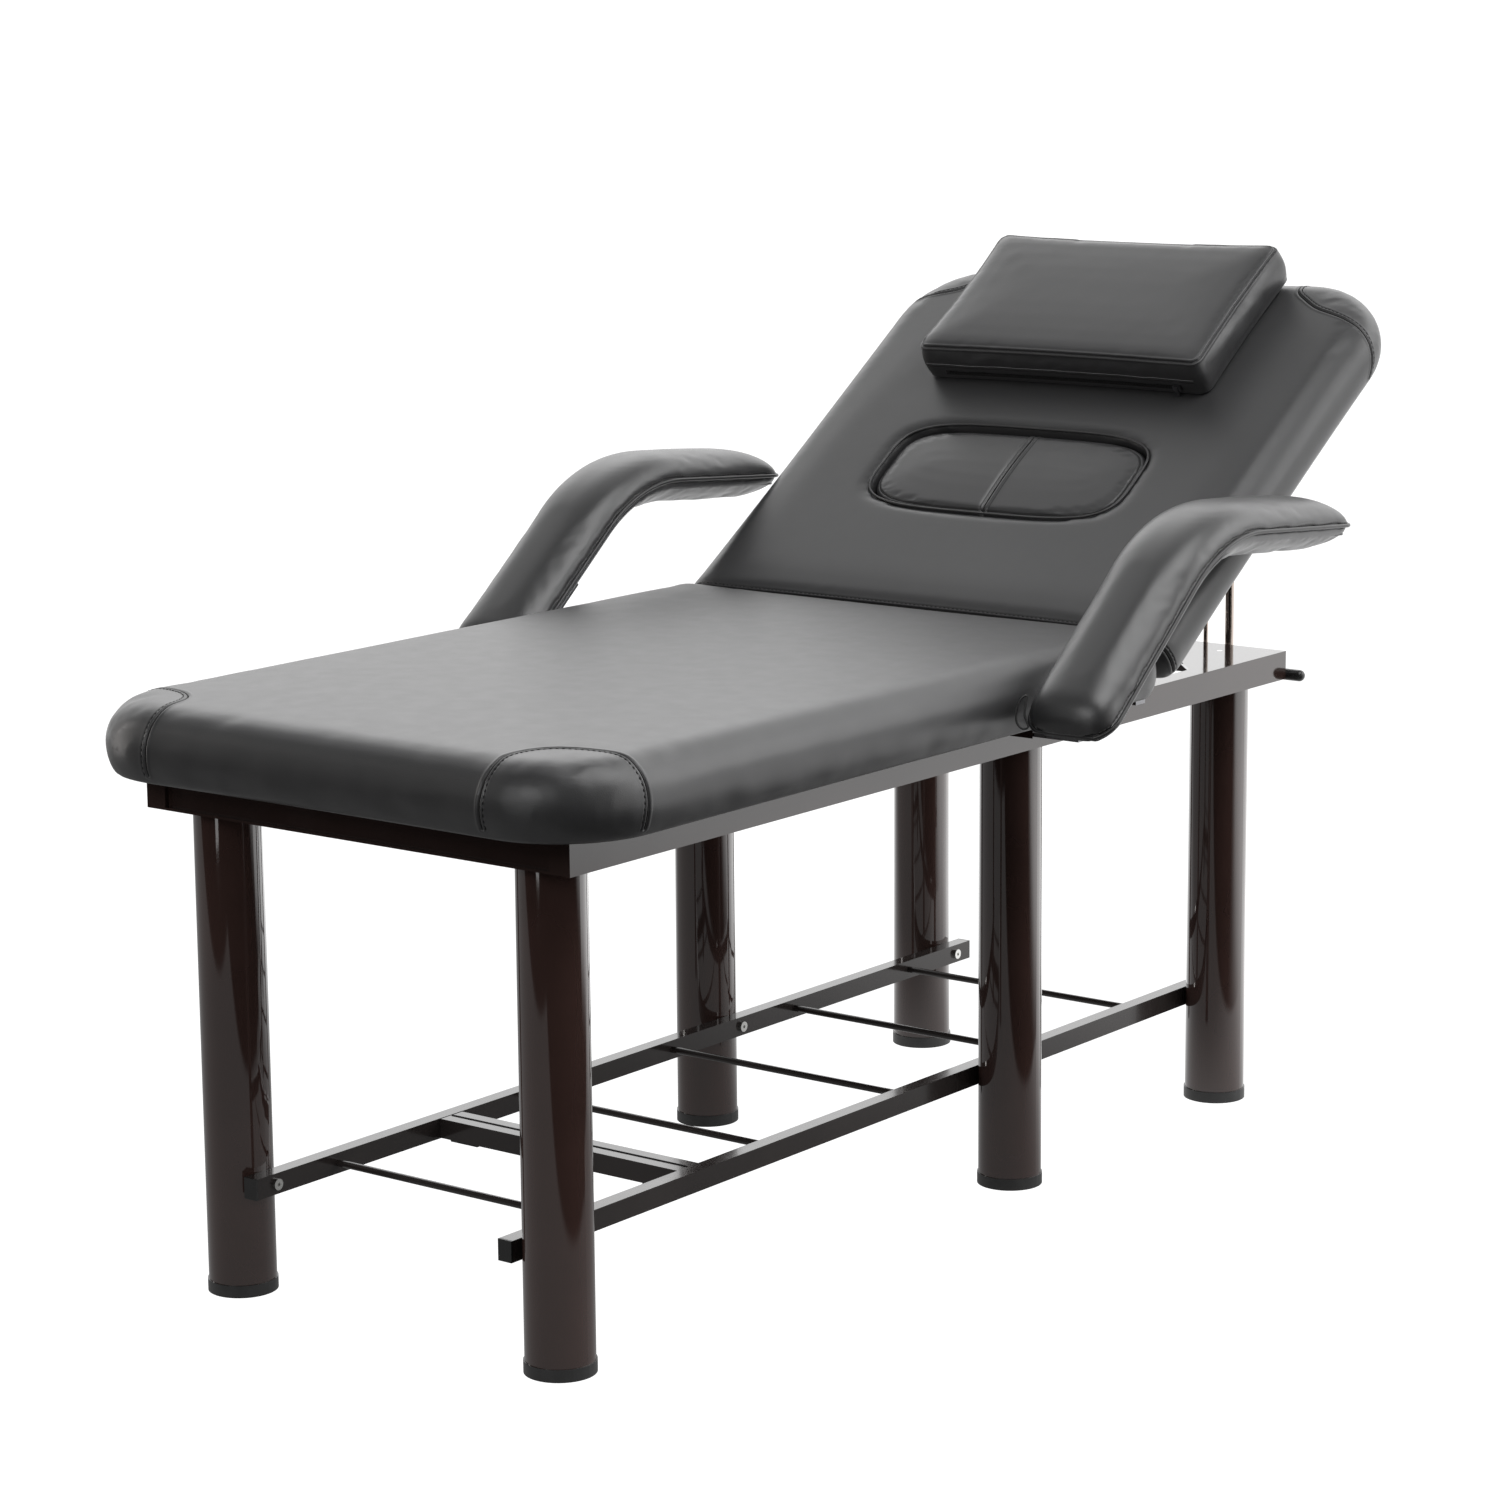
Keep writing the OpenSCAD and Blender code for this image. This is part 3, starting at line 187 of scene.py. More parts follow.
def make_studio():
    """A bright backdrop behind the table, a dark room on the camera's side, and soft boxes."""
    bpy.ops.mesh.primitive_plane_add(size=FLOOR_SIZE, location=(0, 0, 0))
    floor = bpy.context.object
    floor.name = "floor"
    mat, nt, bsdf = new_material("floor")
    nt.nodes.remove(bsdf)
    glow = nt.nodes.new("ShaderNodeEmission")
    place = nt.nodes.new("ShaderNodeTexCoord")
    axes = nt.nodes.new("ShaderNodeSeparateXYZ")
    nt.links.new(place.outputs["Object"], axes.inputs[0])
    level = blend(nt, axes.outputs["Y"], 0.27, 1.7, 0.0, 1.8)
    beside = blend(nt, axes.outputs["X"], 1.0, 0.03, 0.75, 0.85)
    before = blend(nt, axes.outputs["Y"], 0.03, 1.0, -2.5, -2.4)
    behind = blend(nt, axes.outputs["Y"], 0.0, 1.0, 0.4, 1.2)
    lit = combine(nt, "MAXIMUM", combine(nt, "MINIMUM", beside, before), behind)
    nt.links.new(combine(nt, "MULTIPLY", level, lit), glow.inputs["Strength"])
    white_for_camera(nt, "ShaderNodeEmission", glow.outputs[0], nt.nodes["Material Output"].inputs["Surface"])
    floor.data.materials.append(mat)
    w = bpy.data.worlds.new("studio")
    scene.world = w
    w.use_nodes = True
    nt = w.node_tree
    back = nt.nodes["Background"]
    place = nt.nodes.new("ShaderNodeTexCoord")
    axes = nt.nodes.new("ShaderNodeSeparateXYZ")
    nt.links.new(place.outputs["Generated"], axes.inputs[0])
    depth = blend(nt, axes.outputs["Y"], 0.05, 1.0, -0.1, 0.5)
    rise = blend(nt, axes.outputs["Z"], 0.55, 1.0, 0.15, 0.4)
    fall = blend(nt, axes.outputs["Z"], 2.5, 0.45, 0.55, 0.85)
    back.inputs["Color"].default_value = (1, 1, 1, 1)
    nt.links.new(combine(nt, "MULTIPLY", depth, combine(nt, "MULTIPLY", rise, fall)), back.inputs["Strength"])
    white_for_camera(nt, "ShaderNodeBackground", back.outputs[0], nt.nodes["World Output"].inputs["Surface"])
    for light in SOFT_BOXES:
        area_light(*light)
    scene.view_settings.view_transform = "Standard"


# Meshes
def mesh_object(name, verts, faces, smooth=True):
    me = bpy.data.meshes.new(name)
    me.from_pydata([tuple(v) for v in verts], [], [tuple(f) for f in faces])
    me.validate()
    me.update()
    obj = bpy.data.objects.new(name, me)
    scene.collection.objects.link(obj)
    if smooth:
        me.shade_smooth()
    return obj


def coords(obj):
    co = np.zeros(len(obj.data.vertices) * 3, np.float32)
    obj.data.vertices.foreach_get("co", co)
    return co.reshape(-1, 3).astype(float)


def set_coords(obj, co):
    obj.data.vertices.foreach_set("co", np.asarray(co, np.float32).ravel())
    obj.data.update()


def normals(obj):
    n = np.zeros(len(obj.data.vertices) * 3, np.float32)
    obj.data.vertices.foreach_get("normal", n)
    return n.reshape(-1, 3).astype(float)


def loft(name, rings, torus=False):
    """Closed surface over rings of points, already in metres."""
    m, n = len(rings), len(rings[0])
    verts = [p for r in rings for p in r]
    faces = []
    for i in range(m if torus else m - 1):
        j = (i + 1) % m
        for k in range(n):
            q = (k + 1) % n
            faces.append((i * n + k, i * n + q, j * n + q, j * n + k))
    if not torus:
        for i, flip in ((0, True), (m - 1, False)):
            c = len(verts)
            verts.append(np.mean(rings[i], 0))
            for k in range(n):
                q = (k + 1) % n
                a, b = i * n + k, i * n + q
                faces.append((c, b, a) if flip else (c, a, b))
    obj = mesh_object(name, verts, faces)
    bm = bmesh.new()
    bm.from_mesh(obj.data)
    bmesh.ops.recalc_face_normals(bm, faces=bm.faces)
    bm.to_mesh(obj.data)
    bm.free()
    return obj


def bake(obj):
    """Replaces the object's mesh by what its modifiers make of it."""
    dg = bpy.context.evaluated_depsgraph_get()
    me = bpy.data.meshes.new_from_object(obj.evaluated_get(dg), depsgraph=dg)
    old = obj.data
    obj.modifiers.clear()
    obj.data = me
    bpy.data.meshes.remove(old)
    me.name = obj.name
    me.shade_smooth()


def voxel(obj, size):
    mod = obj.modifiers.new("remesh", "REMESH")
    mod.mode = "VOXEL"
    mod.voxel_size = size / 1000
    bake(obj)


def subdivide(obj):
    mod = obj.modifiers.new("subdivide", "SUBSURF")
    mod.levels = mod.render_levels = 1
    bake(obj)


def relax(obj, factor, times):
    mod = obj.modifiers.new("relax", "SMOOTH")
    mod.factor, mod.iterations = factor, times
    bake(obj)


def puff(obj, pinned, cap, pressure=4.0, slack=0.0, bend=0.5, frames=20):
    """Fills the piece by cloth simulation. pinned is a mask of points that stay; cap is in millimetres."""
    group = obj.vertex_groups.new(name="pin")
    group.add([int(i) for i in np.nonzero(pinned)[0]], 1.0, "REPLACE")
    base = coords(obj)
    mod = obj.modifiers.new("cloth", "CLOTH")
    s = mod.settings
    s.quality = 5
    s.mass = 0.3
    s.tension_stiffness = s.compression_stiffness = 15
    s.shear_stiffness = 8
    s.bending_stiffness = bend
    s.use_pressure = True
    s.uniform_pressure_force = pressure
    s.shrink_min = -slack
    s.vertex_group_mass = "pin"
    s.effector_weights.gravity = 0
    mod.point_cache.frame_start, mod.point_cache.frame_end = 1, frames
    for f in range(1, frames + 1):
        scene.frame_set(f)
    dg = bpy.context.evaluated_depsgraph_get()
    me = obj.evaluated_get(dg).to_mesh()
    out = np.zeros(len(me.vertices) * 3, np.float32)
    me.vertices.foreach_get("co", out)
    d = out.reshape(-1, 3).astype(float) - base
    length = np.linalg.norm(d, axis=1, keepdims=True)
    d *= np.minimum(1, cap / 1000 / np.maximum(length, 1e-9))
    obj.evaluated_get(dg).to_mesh_clear()
    obj.modifiers.clear()
    obj.vertex_groups.clear()
    set_coords(obj, base + d)
    scene.frame_set(1)


def ripple(obj, amount, scale, weight, seed=0.0):
    """Low soft waves along the normals, weighted for each point. amount in millimetres, scale in metres."""
    co, n = coords(obj), normals(obj)
    v = np.array([noise.noise(Vector((p[0], p[1], p[2])) / scale + Vector((seed, 0, 0))) for p in co])
    set_coords(obj, co + n * (v * weight * amount / 1000)[:, None])


# Paths on a surface
def joined_up(path):
    """The path with its first point again at the end."""
    return np.vstack([path, path[:1]])


def resample(points, step, closed=False):
    p = np.array(points, float)
    if closed:
        p = joined_up(p)
    d = np.concatenate([[0], np.cumsum(np.linalg.norm(np.diff(p, axis=0), axis=1))])
    n = max(2, int(round(d[-1] / step)))
    t = np.linspace(0, d[-1], n + 1)
    q = np.stack([np.interp(t, d, p[:, k]) for k in range(3)], 1)
    return q[:-1] if closed else q


def spline(points, closed=False, per=10):
    """Smooth line through given points."""
    p = [np.array(q, float) for q in points]
    n = len(p)
    out = []
    for i in range(n if closed else n - 1):
        a, b, c, d = (
            (p[(i - 1) % n], p[i], p[(i + 1) % n], p[(i + 2) % n])
            if closed
            else (p[max(i - 1, 0)], p[i], p[i + 1], p[min(i + 2, n - 1)])
        )
        for k in range(per):
            t = k / per
            square, cube = 2 * a - 5 * b + 4 * c - d, 3 * b - a - 3 * c + d
            out.append(0.5 * (2 * b + (c - a) * t + square * t**2 + cube * t**3))
    if not closed:
        out.append(p[-1])
    return np.array(out)


def surface_of(obj):
    bm = bmesh.new()
    bm.from_mesh(obj.data)
    tree = BVHTree.FromBMesh(bm)
    bm.free()
    return tree


def snapped(tree, points, lift=0.0):
    """Points moved onto a surface, and the surface's normals there. lift is in millimetres."""
    out, ns = [], []
    for p in points:
        co, n, _, _ = tree.find_nearest(Vector(p))
        out.append(np.array(co) + np.array(n) * lift / 1000)
        ns.append(np.array(n))
    return np.array(out), np.array(ns)


def shifted(points, ns, by, closed=False):
    """A path moved sideways on its surface. by is in millimetres."""
    t = np.roll(points, -1, 0) - np.roll(points, 1, 0) if closed else np.gradient(points, axis=0)
    side = np.cross(ns, t)
    side /= np.maximum(np.linalg.norm(side, axis=1, keepdims=True), 1e-9)
    return points + side * by / 1000


def distance_to(co, path):
    """Distance of each point of co to the nearest point of a finely sampled path."""
    tree = KDTree(len(path))
    for i, p in enumerate(path):
        tree.insert(Vector(p), i)
    tree.balance()
    return np.array([tree.find(Vector(p))[2] for p in co])


def refine(obj, paths, reach, cuts=2):
    """Adds faces near seams, so that grooves are real geometry. reach is in millimetres."""
    fine = np.vstack([resample(p, 0.002) for p in paths])
    for i in range(cuts):
        near = distance_to(coords(obj), fine) < reach / 1000 / (1 + 0.6 * i)
        bm = bmesh.new()
        bm.from_mesh(obj.data)
        bm.verts.ensure_lookup_table()
        edges = [e for e in bm.edges if near[e.verts[0].index] and near[e.verts[1].index]]
        bmesh.ops.subdivide_edges(bm, edges=edges, cuts=1, use_grid_fill=True)
        bmesh.ops.triangulate(bm, faces=[f for f in bm.faces if len(f.verts) > 4])
        bm.to_mesh(obj.data)
        bm.free()
    obj.data.shade_smooth()


def groove(obj, paths, depth, width, shoulder=0.35):
    """Presses seams into a surface, with soft shoulders beside them. Sizes in millimetres."""
    fine = np.vstack([resample(p, 0.001) for p in paths])
    co, n = coords(obj), normals(obj)
    d = distance_to(co, fine) * 1000
    dent = -depth * np.exp(-((d / width) ** 2))
    lip = shoulder * depth * np.exp(-(((d - 2.6 * width) / (1.3 * width)) ** 2))
    set_coords(obj, co + n * ((dent + lip) / 1000)[:, None])


def tube(name, path, radius, closed=False, sides=10):
    """A round cord along a path. radius in millimetres."""
    p = np.array(path, float)
    t = np.roll(p, -1, 0) - np.roll(p, 1, 0) if closed else np.gradient(p, axis=0)
    t /= np.maximum(np.linalg.norm(t, axis=1, keepdims=True), 1e-9)
    ref = np.array([0, 0, 1.0]) if abs(t[0][2]) < 0.9 else np.array([1.0, 0, 0])
    u = np.cross(t[0], ref)
    u /= np.linalg.norm(u)
    turns = np.linspace(0, 2 * math.pi, sides, False)
    rings = []
    for q, d in zip(p, t):
        u = u - d * (u @ d)
        u /= np.linalg.norm(u)
        v = np.cross(d, u)
        rings.append([q + (u * math.cos(a) + v * math.sin(a)) * radius / 1000 for a in turns])
    return loft(name, rings, torus=closed)


def stitches(name, path, ns, body, mat, length, gap, radius):
    """A row of short sewn threads lying in their holes. Sizes in millimetres."""
    sides = 6
    pitch = (length + gap) / 1000
    q = resample(path, pitch / 6)
    verts, faces = [], []
    d = np.concatenate([[0], np.cumsum(np.linalg.norm(np.diff(np.array(path), axis=0), axis=1))])
    dist = np.concatenate([[0], np.cumsum(np.linalg.norm(np.diff(q, axis=0), axis=1))])
    nn = np.stack([np.interp(dist, d, np.array(ns)[:, k]) for k in range(3)], 1)
    for s in range(int(dist[-1] / pitch)):
        i0 = np.searchsorted(dist, s * pitch)
        i1 = np.searchsorted(dist, s * pitch + length / 1000)
        if i1 - i0 < 2:
            continue
        part, pn = q[i0 : i1 + 1], nn[i0 : i1 + 1]
        base = len(verts)
        m = len(part)
        for k in range(m):
            dip = math.sin(math.pi * k / (m - 1))
            tangent = part[min(k + 1, m - 1)] - part[max(k - 1, 0)]
            tangent = tangent / max(np.linalg.norm(tangent), 1e-9)
            n = pn[k] / max(np.linalg.norm(pn[k]), 1e-9)
            side = np.cross(tangent, n)
            r = radius / 1000 * (0.55 + 0.45 * dip)
            centre = part[k] + n * (dip * 0.5 - 0.25) * radius / 1000
            for a in range(sides):
                w = 2 * math.pi * a / sides
                verts.append(centre + (side * math.cos(w) + n * math.sin(w)) * r)
        for k in range(m - 1):
            here, there = base + k * sides, base + (k + 1) * sides
            for a in range(sides):
                b = (a + 1) % sides
                faces.append((here + a, here + b, there + b, there + a))
        faces.append([base + a for a in reversed(range(sides))])
        faces.append([base + (m - 1) * sides + a for a in range(sides)])
    obj = mesh_object(name, verts, faces)
    obj.data.materials.append(mat)
    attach(obj, body)


# Materials
def add_bump(nt, bsdf, source, strength, distance, previous=None):
    bump = nt.nodes.new("ShaderNodeBump")
    bump.inputs["Strength"].default_value = strength
    bump.inputs["Distance"].default_value = distance
    nt.links.new(source, bump.inputs["Height"])
    if previous is not None:
        nt.links.new(previous.outputs["Normal"], bump.inputs["Normal"])
    nt.links.new(bump.outputs["Normal"], bsdf.inputs["Normal"])
    return bump


def texture(nt, kind, scale, **values):
    coord = nt.nodes.new("ShaderNodeTexCoord")
    tex = nt.nodes.new(kind)
    tex.inputs["Scale"].default_value = scale
    for k, v in values.items():
        tex.inputs[k].default_value = v
    nt.links.new(coord.outputs["Object"], tex.inputs["Vector"])
    return tex


def ramp_of(nt, source, low, high, a=0.3, b=0.7):
    ramp = nt.nodes.new("ShaderNodeValToRGB")
    e = ramp.color_ramp.elements
    e[0].position, e[0].color = a, low
    e[1].position, e[1].color = b, high
    nt.links.new(source, ramp.inputs["Fac"])
    return ramp


def grey(v):
    return (v, v, v, 1.0)


def leather(name, shade=0.030, rough=0.40, grain=0.16, shine=0.55):
    """Smooth artificial leather: fine pebble, faint creases and uneven polish."""
    mat, nt, bsdf = new_material(name)
    wide = texture(nt, "ShaderNodeTexNoise", 5.0, Detail=4.0)
    dark = (shade * 0.97, shade * 0.97, shade, 1)
    light = (shade * 1.05, shade * 1.05, shade * 1.09, 1)
    tint = ramp_of(nt, wide.outputs["Fac"], dark, light)
    nt.links.new(tint.outputs["Color"], bsdf.inputs["Base Color"])
    polish = texture(nt, "ShaderNodeTexNoise", 38.0, Detail=5.0)
    rr = ramp_of(nt, polish.outputs["Fac"], grey(rough - 0.01), grey(rough + 0.02))
    nt.links.new(rr.outputs["Color"], bsdf.inputs["Roughness"])
    pebble = texture(nt, "ShaderNodeTexVoronoi", 820.0)
    first = add_bump(nt, bsdf, pebble.outputs["Distance"], grain, 0.0004)
    crease = texture(nt, "ShaderNodeTexNoise", 95.0, Detail=6.0)
    add_bump(nt, bsdf, crease.outputs["Fac"], 0.05, 0.0010, first)
    bsdf.inputs["Specular IOR Level"].default_value = shine
    return mat


def lacquer(name, colour, rough=0.10, coat=0.6, peel=0.03, shine=0.5):
    """Gloss paint on steel: slight orange peel and dust-soft variation of polish."""
    mat, nt, bsdf = new_material(name)
    cloud = texture(nt, "ShaderNodeTexNoise", 7.0, Detail=3.0)
    hi = tuple(c * 1.35 for c in colour)
    tint = ramp_of(nt, cloud.outputs["Fac"], (*colour, 1), (*hi, 1))
    nt.links.new(tint.outputs["Color"], bsdf.inputs["Base Color"])
    smear = texture(nt, "ShaderNodeTexNoise", 22.0, Detail=5.0)
    rr = ramp_of(nt, smear.outputs["Fac"], grey(rough * 0.8), grey(rough * 1.5))
    nt.links.new(rr.outputs["Color"], bsdf.inputs["Roughness"])
    bsdf.inputs["Specular IOR Level"].default_value = shine
    bsdf.inputs["Coat Weight"].default_value = coat
    bsdf.inputs["Coat Roughness"].default_value = 0.04
    orange = texture(nt, "ShaderNodeTexNoise", 260.0, Detail=2.0)
    add_bump(nt, bsdf, orange.outputs["Fac"], peel, 0.0006)
    return mat


def metal(name, colour, rough, grain=180.0, strength=0.05):
    """Bare or plated steel with fine scratches."""
    mat, nt, bsdf = new_material(name)
    bsdf.inputs["Metallic"].default_value = 1.0
    cloud = texture(nt, "ShaderNodeTexNoise", 30.0, Detail=3.0)
    tint = ramp_of(nt, cloud.outputs["Fac"], (*[c * 0.9 for c in colour], 1), (*colour, 1))
    nt.links.new(tint.outputs["Color"], bsdf.inputs["Base Color"])
    scratch = texture(nt, "ShaderNodeTexNoise", grain, Detail=5.0)
    rr = ramp_of(nt, scratch.outputs["Fac"], grey(rough * 0.7), grey(rough * 1.4))
    nt.links.new(rr.outputs["Color"], bsdf.inputs["Roughness"])
    add_bump(nt, bsdf, scratch.outputs["Fac"], strength, 0.0003)
    return mat


def moulded(name, shade, rough=0.45, tex=420.0):
    """Plastic, thread or cord with a fine even texture."""
    mat, nt, bsdf = new_material(name)
    cloud = texture(nt, "ShaderNodeTexNoise", 40.0, Detail=3.0)
    tint = ramp_of(nt, cloud.outputs["Fac"], grey(shade), grey(shade * 1.4))
    nt.links.new(tint.outputs["Color"], bsdf.inputs["Base Color"])
    bsdf.inputs["Roughness"].default_value = rough
    spark = texture(nt, "ShaderNodeTexNoise", tex, Detail=2.0)
    add_bump(nt, bsdf, spark.outputs["Fac"], 0.12, 0.0005)
    return mat


def plywood(name, colour):
    mat, nt, bsdf = new_material(name)
    rings = texture(nt, "ShaderNodeTexNoise", 14.0, Detail=8.0, Distortion=1.2)
    tint = ramp_of(nt, rings.outputs["Fac"], (*[c * 0.7 for c in colour], 1), (*colour, 1))
    nt.links.new(tint.outputs["Color"], bsdf.inputs["Base Color"])
    bsdf.inputs["Roughness"].default_value = 0.7
    pores = texture(nt, "ShaderNodeTexNoise", 300.0, Detail=3.0)
    add_bump(nt, bsdf, pores.outputs["Fac"], 0.2, 0.0005)
    return mat


LEATHER = leather("leather_black")
LEATHER_SIDE = leather("leather_pads", 0.031, 0.36, 0.14)
ARM_LEATHER = leather("leather_arms", 0.028, 0.38, 0.12, 0.72)
PIPING = leather("leather_piping", 0.018, 0.42, 0.05)
# Near-black for the sewn threads and the zipper, and also for the dark lines painted as shade in seam
# grooves, folds and gaps
THREAD_AND_SHADE = moulded("thread_and_shade_black", 0.006, 0.8, 900.0)
STITCH = moulded("thread_grey", 0.055, 0.6, 900.0)
LEG_PAINT = lacquer("leg_paint", (0.038, 0.021, 0.018), 0.05, 1.0)
FRAME_PAINT = lacquer("frame_paint", (0.026, 0.016, 0.014), 0.09, 0.45)
SHELF_PAINT = lacquer("shelf_paint", (0.024, 0.020, 0.019), 0.12, 0.2, 0.02, 0.32)
GREY_STEEL = metal("grey_steel", (0.22, 0.22, 0.23), 0.34)
CHROME = metal("chrome", (0.42, 0.36, 0.32), 0.10, 40.0, 0.004)
ZINC = metal("zinc", (0.70, 0.70, 0.68), 0.22)
CAP_PLASTIC = moulded("cap_plastic", 0.028, 0.35)
PLUG_PLASTIC = moulded("plug_plastic", 0.010, 0.4)
GRIP = moulded("lever_grip", 0.018, 0.32)
BOARD = plywood("board_wood", (0.40, 0.30, 0.19))
DARK_BOARD = moulded("board_black_cloth", 0.02, 0.85, 700.0)
EDGE_CLOTH = leather("leather_edge", 0.075, 0.5, 0.5)
UNDER = leather("leather_under", 0.06, 0.4, 0.14, 0.8)
# Light grey, painted as the thin highlights along the armrest board's edges and along the pillow flap's edge
HIGHLIGHT_WELT = leather("leather_welt_painted_highlight", 0.20, 0.45, 0.05)
CORD = moulded("cord_black", 0.008, 0.6, 900.0)

# Sewn threads, in millimetres: material, length, gap and radius
BROAD_THREAD = (THREAD_AND_SHADE, 4.5, 2.5, 0.6)
FINE_THREAD = (STITCH, 4.0, 2.0, 0.4)


def paint(names, mat):
    for n in names:
        o = NODES[n]
        if not o.material_slots:
            o.data.materials.append(mat)
        for s in o.material_slots:
            s.material = mat


def bevel(names, width, segments=3):
    """Rounded edges on bent and welded steel."""
    for n in names:
        mod = NODES[n].modifiers.new("bevel", "BEVEL")
        mod.width = width / 1000
        mod.segments = segments
        mod.limit_method = "ANGLE"
        mod.angle_limit = math.radians(40)
        mod.harden_normals = True


def paint_nodes():
    def named(*starts):
        return [n for n in NODES if n.startswith(starts)]

    paint(named("leg_"), LEG_PAINT)
    paint(named("side_rail", "foot_rail", "middle_rail", "head_rail"), FRAME_PAINT)
    paint(named("corner_plates", "middle_plates", "armrest_sockets"), FRAME_PAINT)
    paint(named("stay_foot_bracket", "stay_tube", "lever_lug", "lever_bar"), FRAME_PAINT)
    paint(named("shelf_rail", "shelf_rods", "shelf_crossbar"), SHELF_PAINT)
    paint(named("foot_caps"), CAP_PLASTIC)
    paint(named("shelf_end_plugs", "shelf_spacers"), PLUG_PLASTIC)
    paint(named("shelf_bolts", "shelf_nuts", "plate_screws"), ZINC)
    paint(named("hinge_pins", "stay_foot_pin", "lever_pin"), ZINC)
    paint(named("stay_rod", "stay_guide"), CHROME)
    paint(named("hinge_brackets", "hinge_arms", "stay_top_bracket"), GREY_STEEL)
    paint(named("zip_pull", "armrest_bracket"), GREY_STEEL)
    paint(["seat_board", "back_board"], DARK_BOARD)
    paint(["face_plug_base"], BOARD)
    paint(named("armrest_board"), EDGE_CLOTH)
    paint(["lever_grip"], GRIP)
    paint(["pillow_zipper"], THREAD_AND_SHADE)
    bevel(named("side_rail", "foot_rail", "middle_rail", "head_rail"), 1.6)
    bevel(named("shelf_rail", "shelf_crossbar", "corner_plates", "middle_plates"), 1.3)
    bevel(named("hinge_brackets", "hinge_arms", "shelf_end_plugs"), 0.7, 2)
    bevel(named("armrest_bracket", "armrest_sockets"), 0.7, 2)


# Outlines and side profiles of the flat cushions, in millimetres
def outline(hx, y0, y1, r0, r1, draw, n=260):
    """Rectangle with corner radii r0 at y0 and r1 at y1, its sides bowed outwards by draw."""
    pts = []

    def corner(cx, cy, r, a0):
        for a in np.radians(np.linspace(a0, a0 + 90, 16)):
            pts.append((cx + r * math.cos(a), cy + r * math.sin(a)))

    def side(p, q):
        p, q = np.array(p, float), np.array(q, float)
        d = q - p
        nrm = np.array([-d[1], d[0]]) / np.linalg.norm(d)
        for t in np.linspace(0, 1, 26)[1:-1]:
            pts.append(tuple(p + d * t + nrm * draw * 4 * t * (1 - t)))

    corner(hx - r1, y1 - r1, r1, 0)
    side((hx - r1, y1), (-hx + r1, y1))
    corner(-hx + r1, y1 - r1, r1, 90)
    side((-hx, y1 - r1), (-hx, y0 + r0))
    corner(-hx + r0, y0 + r0, r0, 180)
    side((-hx + r0, y0), (hx - r0, y0))
    corner(hx - r0, y0 + r0, r0, 270)
    side((hx, y0 + r0), (hx, y1 - r1))
    flat = np.array([(x, y, 0.0) for x, y in pts])
    around = np.linalg.norm(np.diff(joined_up(flat), axis=0), axis=1).sum()
    return resample(flat, around / n, True)[:n, :2]


def side_profile(z0, z1, low, high, share=0.4, steps=10):
    """Insets and heights up a cushion's side, rounded by low below and by high above."""
    zm = z0 + (z1 - z0) * share
    out = []
    for a in np.linspace(-90, 0, steps // 2, False):
        c, s = math.cos(math.radians(a)), math.sin(math.radians(a))
        out.append((low * (1 - c), zm + (zm - z0) * s))
    for a in np.linspace(0, 90, steps):
        c, s = math.cos(math.radians(a)), math.sin(math.radians(a))
        out.append((high * (1 - c), zm + (z1 - zm) * s))
    return out


def raised(ring, z):
    return np.column_stack([ring, np.full(len(ring), z)])


def shade_lines(name, paths, body, sunk=0.9, radius=0.9):
    """A near-black line in the bottom of each seam's groove: painted shade."""
    for i, (path, ns) in enumerate(paths):
        line = tube(f"{name}_{i}", path - ns * sunk / 1000, radius, False, 6)
        line.data.materials.append(THREAD_AND_SHADE)
        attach(line, body)


def sew(tree, path, aside):
    """A seam laid on a surface, and the row of stitch holes beside it."""
    p, ns = snapped(tree, resample(path, 0.003))
    return (p, ns), snapped(tree, shifted(p, ns, aside), 0.15)


def press_seams(obj, lines, rows):
    """Presses the seams and the rows of stitch holes into a cover."""
    seams = [p for p, _ in lines]
    refine(obj, seams, 16)
    groove(obj, seams, 1.7, 1.5)
    groove(obj, [row for row, _ in rows], 0.9, 1.0, 0.2)


def finish_soft(obj, body, mat, nodes):
    """Gives a cover its material and body, and hides the CAD nodes that it replaces."""
    obj.data.materials.clear()
    obj.data.materials.append(mat)
    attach(obj, body)
    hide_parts(*nodes)


# Seat and back: height of the crown, and how far the stitch holes lie beside a seam
CROWN = 3
HOLES_ASIDE = 5.5

SEAT_X, SEAT_Y0, SEAT_Y1 = 402.0, -1034.0, 133.0
SEAT_Z0, SEAT_Z1 = 637.0, 728.0
SEAT_R0, SEAT_R1 = 130, 26
# The end at the hinge is rounded by this share of the other sides' inset
SEAT_REAR = 0.64
SEAT_CORNER_SEAM = (
    (257, -1040, 645), (257, -1040, 668), (257, -1036, 700), (258, -1012, 727), (260, -985, 729),
    (266, -957, 729), (280, -936, 729), (302, -922, 729), (326, -914, 728), (351, -910, 727),
    (385, -910, 715), (402, -912, 690), (404, -914, 668), (396, -914, 646),
)


